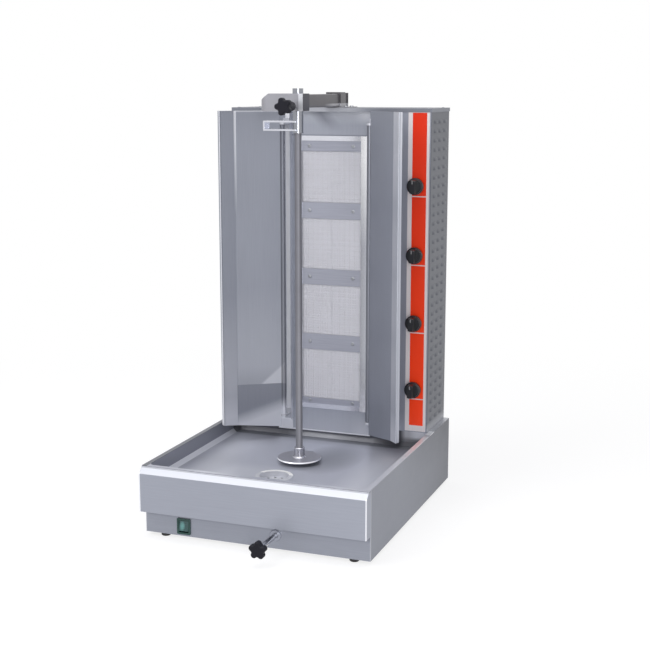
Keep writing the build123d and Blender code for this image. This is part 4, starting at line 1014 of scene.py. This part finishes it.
def threadTree(material):
    graph, port = newTree("thread", {"Radius": 0.004, "Length": 0.01, "Pitch": 0.001})
    spiralSizes = {"Resolution": threadShape["steps"], "Rotations": port["Length"] / port["Pitch"],
                   "Start Radius": port["Radius"], "End Radius": port["Radius"], "Height": port["Length"]}
    spiral = graph.add("GeometryNodeCurveSpiral", inputs=spiralSizes)
    ring = {"Resolution": threadShape["sides"], "Radius": port["Pitch"] * threadShape["ridge"]}
    profile = graph.add("GeometryNodeCurvePrimitiveCircle", inputs=ring)
    sweep = {"Curve": spiral, "Profile Curve": profile, "Fill Caps": True}
    endTree(graph, graph.add("GeometryNodeCurveToMesh", inputs=sweep), material)
    return graph


def addThread(name, body, material, start, radius, length, pitch):
    sizes = {"Radius": radius, "Length": length, "Pitch": pitch}
    piece = growPiece(name, threadTree(material), sizes)
    alongBack = Euler((-math.pi / 2, 0, 0)).to_matrix().to_4x4()
    piece.data.transform(Matrix.Translation(start) @ alongBack)
    return finishPiece(piece, body)


stemLow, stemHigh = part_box("clamp_screw")
stemMiddle = (stemLow + stemHigh) / 2
clampKnobRear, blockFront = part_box("clamp_knob")[1].y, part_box("holder_block")[0].y
clampThread = {"pitch": 1.25 * millimetre, "sink": 0.2}  # the ridge sits this share of the pitch deep
clampRadius = (stemHigh.x - stemLow.x) / 2 - clampThread["pitch"] * clampThread["sink"]
clampStart = (stemMiddle.x, clampKnobRear, stemMiddle.z)
addThread("clampThread", "clamp", finishes["rodSteel"], clampStart, clampRadius,
          blockFront - clampKnobRear, clampThread["pitch"])

inletLow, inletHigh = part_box("gas_inlet")
inletMiddle = (inletLow + inletHigh) / 2
inletThread = {"pitch": 1.8 * millimetre, "sink": 0.3, "radius": 10.5 * millimetre,
               "length": 7.2 * millimetre}
inletStart = (inletMiddle.x, inletHigh.y - inletThread["length"] - inletThread["pitch"] / 2, inletMiddle.z)
inletRadius = inletThread["radius"] - inletThread["pitch"] * inletThread["sink"]
addThread("inletThread", "cabinet", finishes["brass"], inletStart, inletRadius,
          inletThread["length"], inletThread["pitch"])
print("threads cut")


def beveledBar(name, low, high, bevel, material):
    mesh = bpy.data.meshes.new(name)
    shape = bmesh.new()
    bmesh.ops.create_cube(shape, size=1.0)
    bmesh.ops.scale(shape, vec=[h - l for l, h in zip(low, high)], verts=shape.verts)
    bmesh.ops.translate(shape, vec=[(l + h) / 2 for l, h in zip(low, high)], verts=shape.verts)
    bmesh.ops.bevel(shape, geom=shape.edges[:], offset=bevel, segments=2, affect="EDGES")
    shape.to_mesh(mesh)
    shape.free()
    mesh.materials.append(material)
    piece = bpy.data.objects.new(name, mesh)
    bpy.context.scene.collection.objects.link(piece)
    return piece


# Pointer strip let into each gas knob's grip, from one share of the crown's radius to another
pointer = {"width": 2.2 * millimetre, "proud": 0.35 * millimetre, "depth": 3.0 * millimetre,
           "crown": 16 * millimetre, "from": 0.42, "to": 0.92, "bevel": 0.25 * millimetre}
for i in range(burners):
    low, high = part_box(f"gas_knob_{i + 1}")
    middle = (low + high) / 2
    stripLow = (middle.x - pointer["width"] / 2, low.y - pointer["proud"],
                middle.z + pointer["crown"] * pointer["from"])
    stripHigh = (middle.x + pointer["width"] / 2, low.y + pointer["depth"],
                 middle.z + pointer["crown"] * pointer["to"])
    strip = beveledBar(f"knobPointer{i + 1}", stripLow, stripHigh, pointer["bevel"], finishes["pointerPaint"])
    finishPiece(strip, f"knob_{i + 1}")
print("knob pointers set")

# Bright backing sheet behind the orange plates, seen at their sides and breaks
backing = {"left": 11 * millimetre, "right": 6.5 * millimetre, "head": 4 * millimetre,
           "foot": 15 * millimetre, "proud": 0.35 * millimetre, "bevel": 0.15 * millimetre}
plateLow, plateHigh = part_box("control_plates")
backingLow = (plateLow.x - backing["left"], plateHigh.y - backing["proud"], plateLow.z - backing["foot"])
backingHigh = (plateHigh.x + backing["right"], plateHigh.y + backing["proud"], plateHigh.z + backing["head"])
plateBacking = beveledBar("plateBacking", backingLow, backingHigh, backing["bevel"], finishes["trimSteel"])
finishPiece(plateBacking, "cabinet")
print("plate backing set")


# Rays that see the stage rather than its light: the camera's, and those off metal and through glass
def seenRays(graph):
    ray = graph.add("ShaderNodeLightPath", output="Is Camera Ray")
    seen = ray + graph.sibling(ray, "Is Glossy Ray") + graph.sibling(ray, "Is Transmission Ray")
    return seen.calc("MINIMUM", 1.0)


# A pale floor that stays white to the camera but keeps the soft shadow
floorLook = {
    "size": 40.0, "colour": (0.82, 0.82, 0.83, 1), "roughness": 0.9,
    "seenColour": (0.32, 0.32, 0.33, 1), "glow": (0.74, 0.74, 0.74, 1),
    "fade": (0.7, 2.1),  # distances between which the floor turns plain white
}


def whiteFloor():
    finish = Finish("floorWhite", Specular_IOR_Level=0.0)
    finish.set(Base_Color=floorLook["colour"], Roughness=floorLook["roughness"])
    distance = finish.add("ShaderNodeVectorMath", {"operation": "LENGTH"}, [finish.place()], output="Value")
    far = ramp(distance, floorLook["fade"])
    glow = finish.add("ShaderNodeEmission", inputs={"Color": finish.blend(far, floorLook["glow"], white)})
    dimColour = finish.blend(far, floorLook["seenColour"], black)
    dim = finish.add("ShaderNodeBsdfDiffuse", inputs={"Color": dimColour})
    pale = finish.add("ShaderNodeAddShader", inputs=[dim, glow])
    plain = Wire(finish, finish.shader.outputs[0])
    mixed = finish.add("ShaderNodeMixShader", inputs=[seenRays(finish), plain, pale])
    finish.tree.links.new(mixed.socket, finish.tree.nodes["Material Output"].inputs["Surface"])
    return finish.material


half = floorLook["size"] / 2
floorCorners = [(-half, -half, 0), (half, -half, 0), (half, half, 0), (-half, half, 0)]
floorMesh = bpy.data.meshes.new("floor")
floorMesh.from_pydata(floorCorners, [], [(0, 1, 2, 3)])
floorMesh.materials.append(whiteFloor())
floor = bpy.data.objects.new("floor", floorMesh)
bpy.context.scene.collection.objects.link(floor)

worldLook = {"seen": 1.0, "light": 0.55}
world = bpy.data.worlds.new("studio")
world.use_nodes = True
bpy.context.scene.world = world
sky = Graph(world.node_tree)
background = world.node_tree.nodes["Background"]
background.inputs["Color"].default_value = white
strength = worldLook["light"] + seenRays(sky) * (worldLook["seen"] - worldLook["light"])
sky.feed(background.inputs["Strength"], strength)

lamps = {
    "keySoftbox": {"place": (-1.7, -2.3, 3.0), "aim": (0, 0, 0.45), "size": (2.2, 2.2), "power": 46.0},
    "frontStrip": {"place": (1.6, -3.2, 0.9), "aim": (0.2, 0.2, 0.4), "size": (0.8, 1.6), "power": 42.0},
    "topBox": {"place": (0.2, -0.6, 3.4), "aim": (0, -0.1, 0.2), "size": (2.4, 1.4), "power": 25.0},
}
for lampName, lamp in lamps.items():
    light = bpy.data.lights.new(lampName, "AREA")
    light.shape = "RECTANGLE"
    light.size, light.size_y = lamp["size"]
    light.energy = lamp["power"]
    holder = bpy.data.objects.new(lampName, light)
    holder.location = lamp["place"]
    holder.rotation_euler = (Vector(lamp["aim"]) - Vector(lamp["place"])).to_track_quat("-Z", "Y").to_euler()
    bpy.context.scene.collection.objects.link(holder)

cameraLook = {"place": (1.0737, -2.6716, 1.0049), "tilt": 79.258, "turn": 20.674,
              "lens": 69.34, "sensor": 36.0}
cameraData = bpy.data.cameras.new("photoCamera")
cameraData.lens = cameraLook["lens"]
cameraData.sensor_width = cameraLook["sensor"]
camera = bpy.data.objects.new("photoCamera", cameraData)
camera.location = cameraLook["place"]
camera.rotation_euler = (math.radians(cameraLook["tilt"]), 0, math.radians(cameraLook["turn"]))
bpy.context.scene.collection.objects.link(camera)
bpy.context.scene.camera = camera
bpy.context.scene.view_settings.view_transform = "Standard"
print("stage lit")
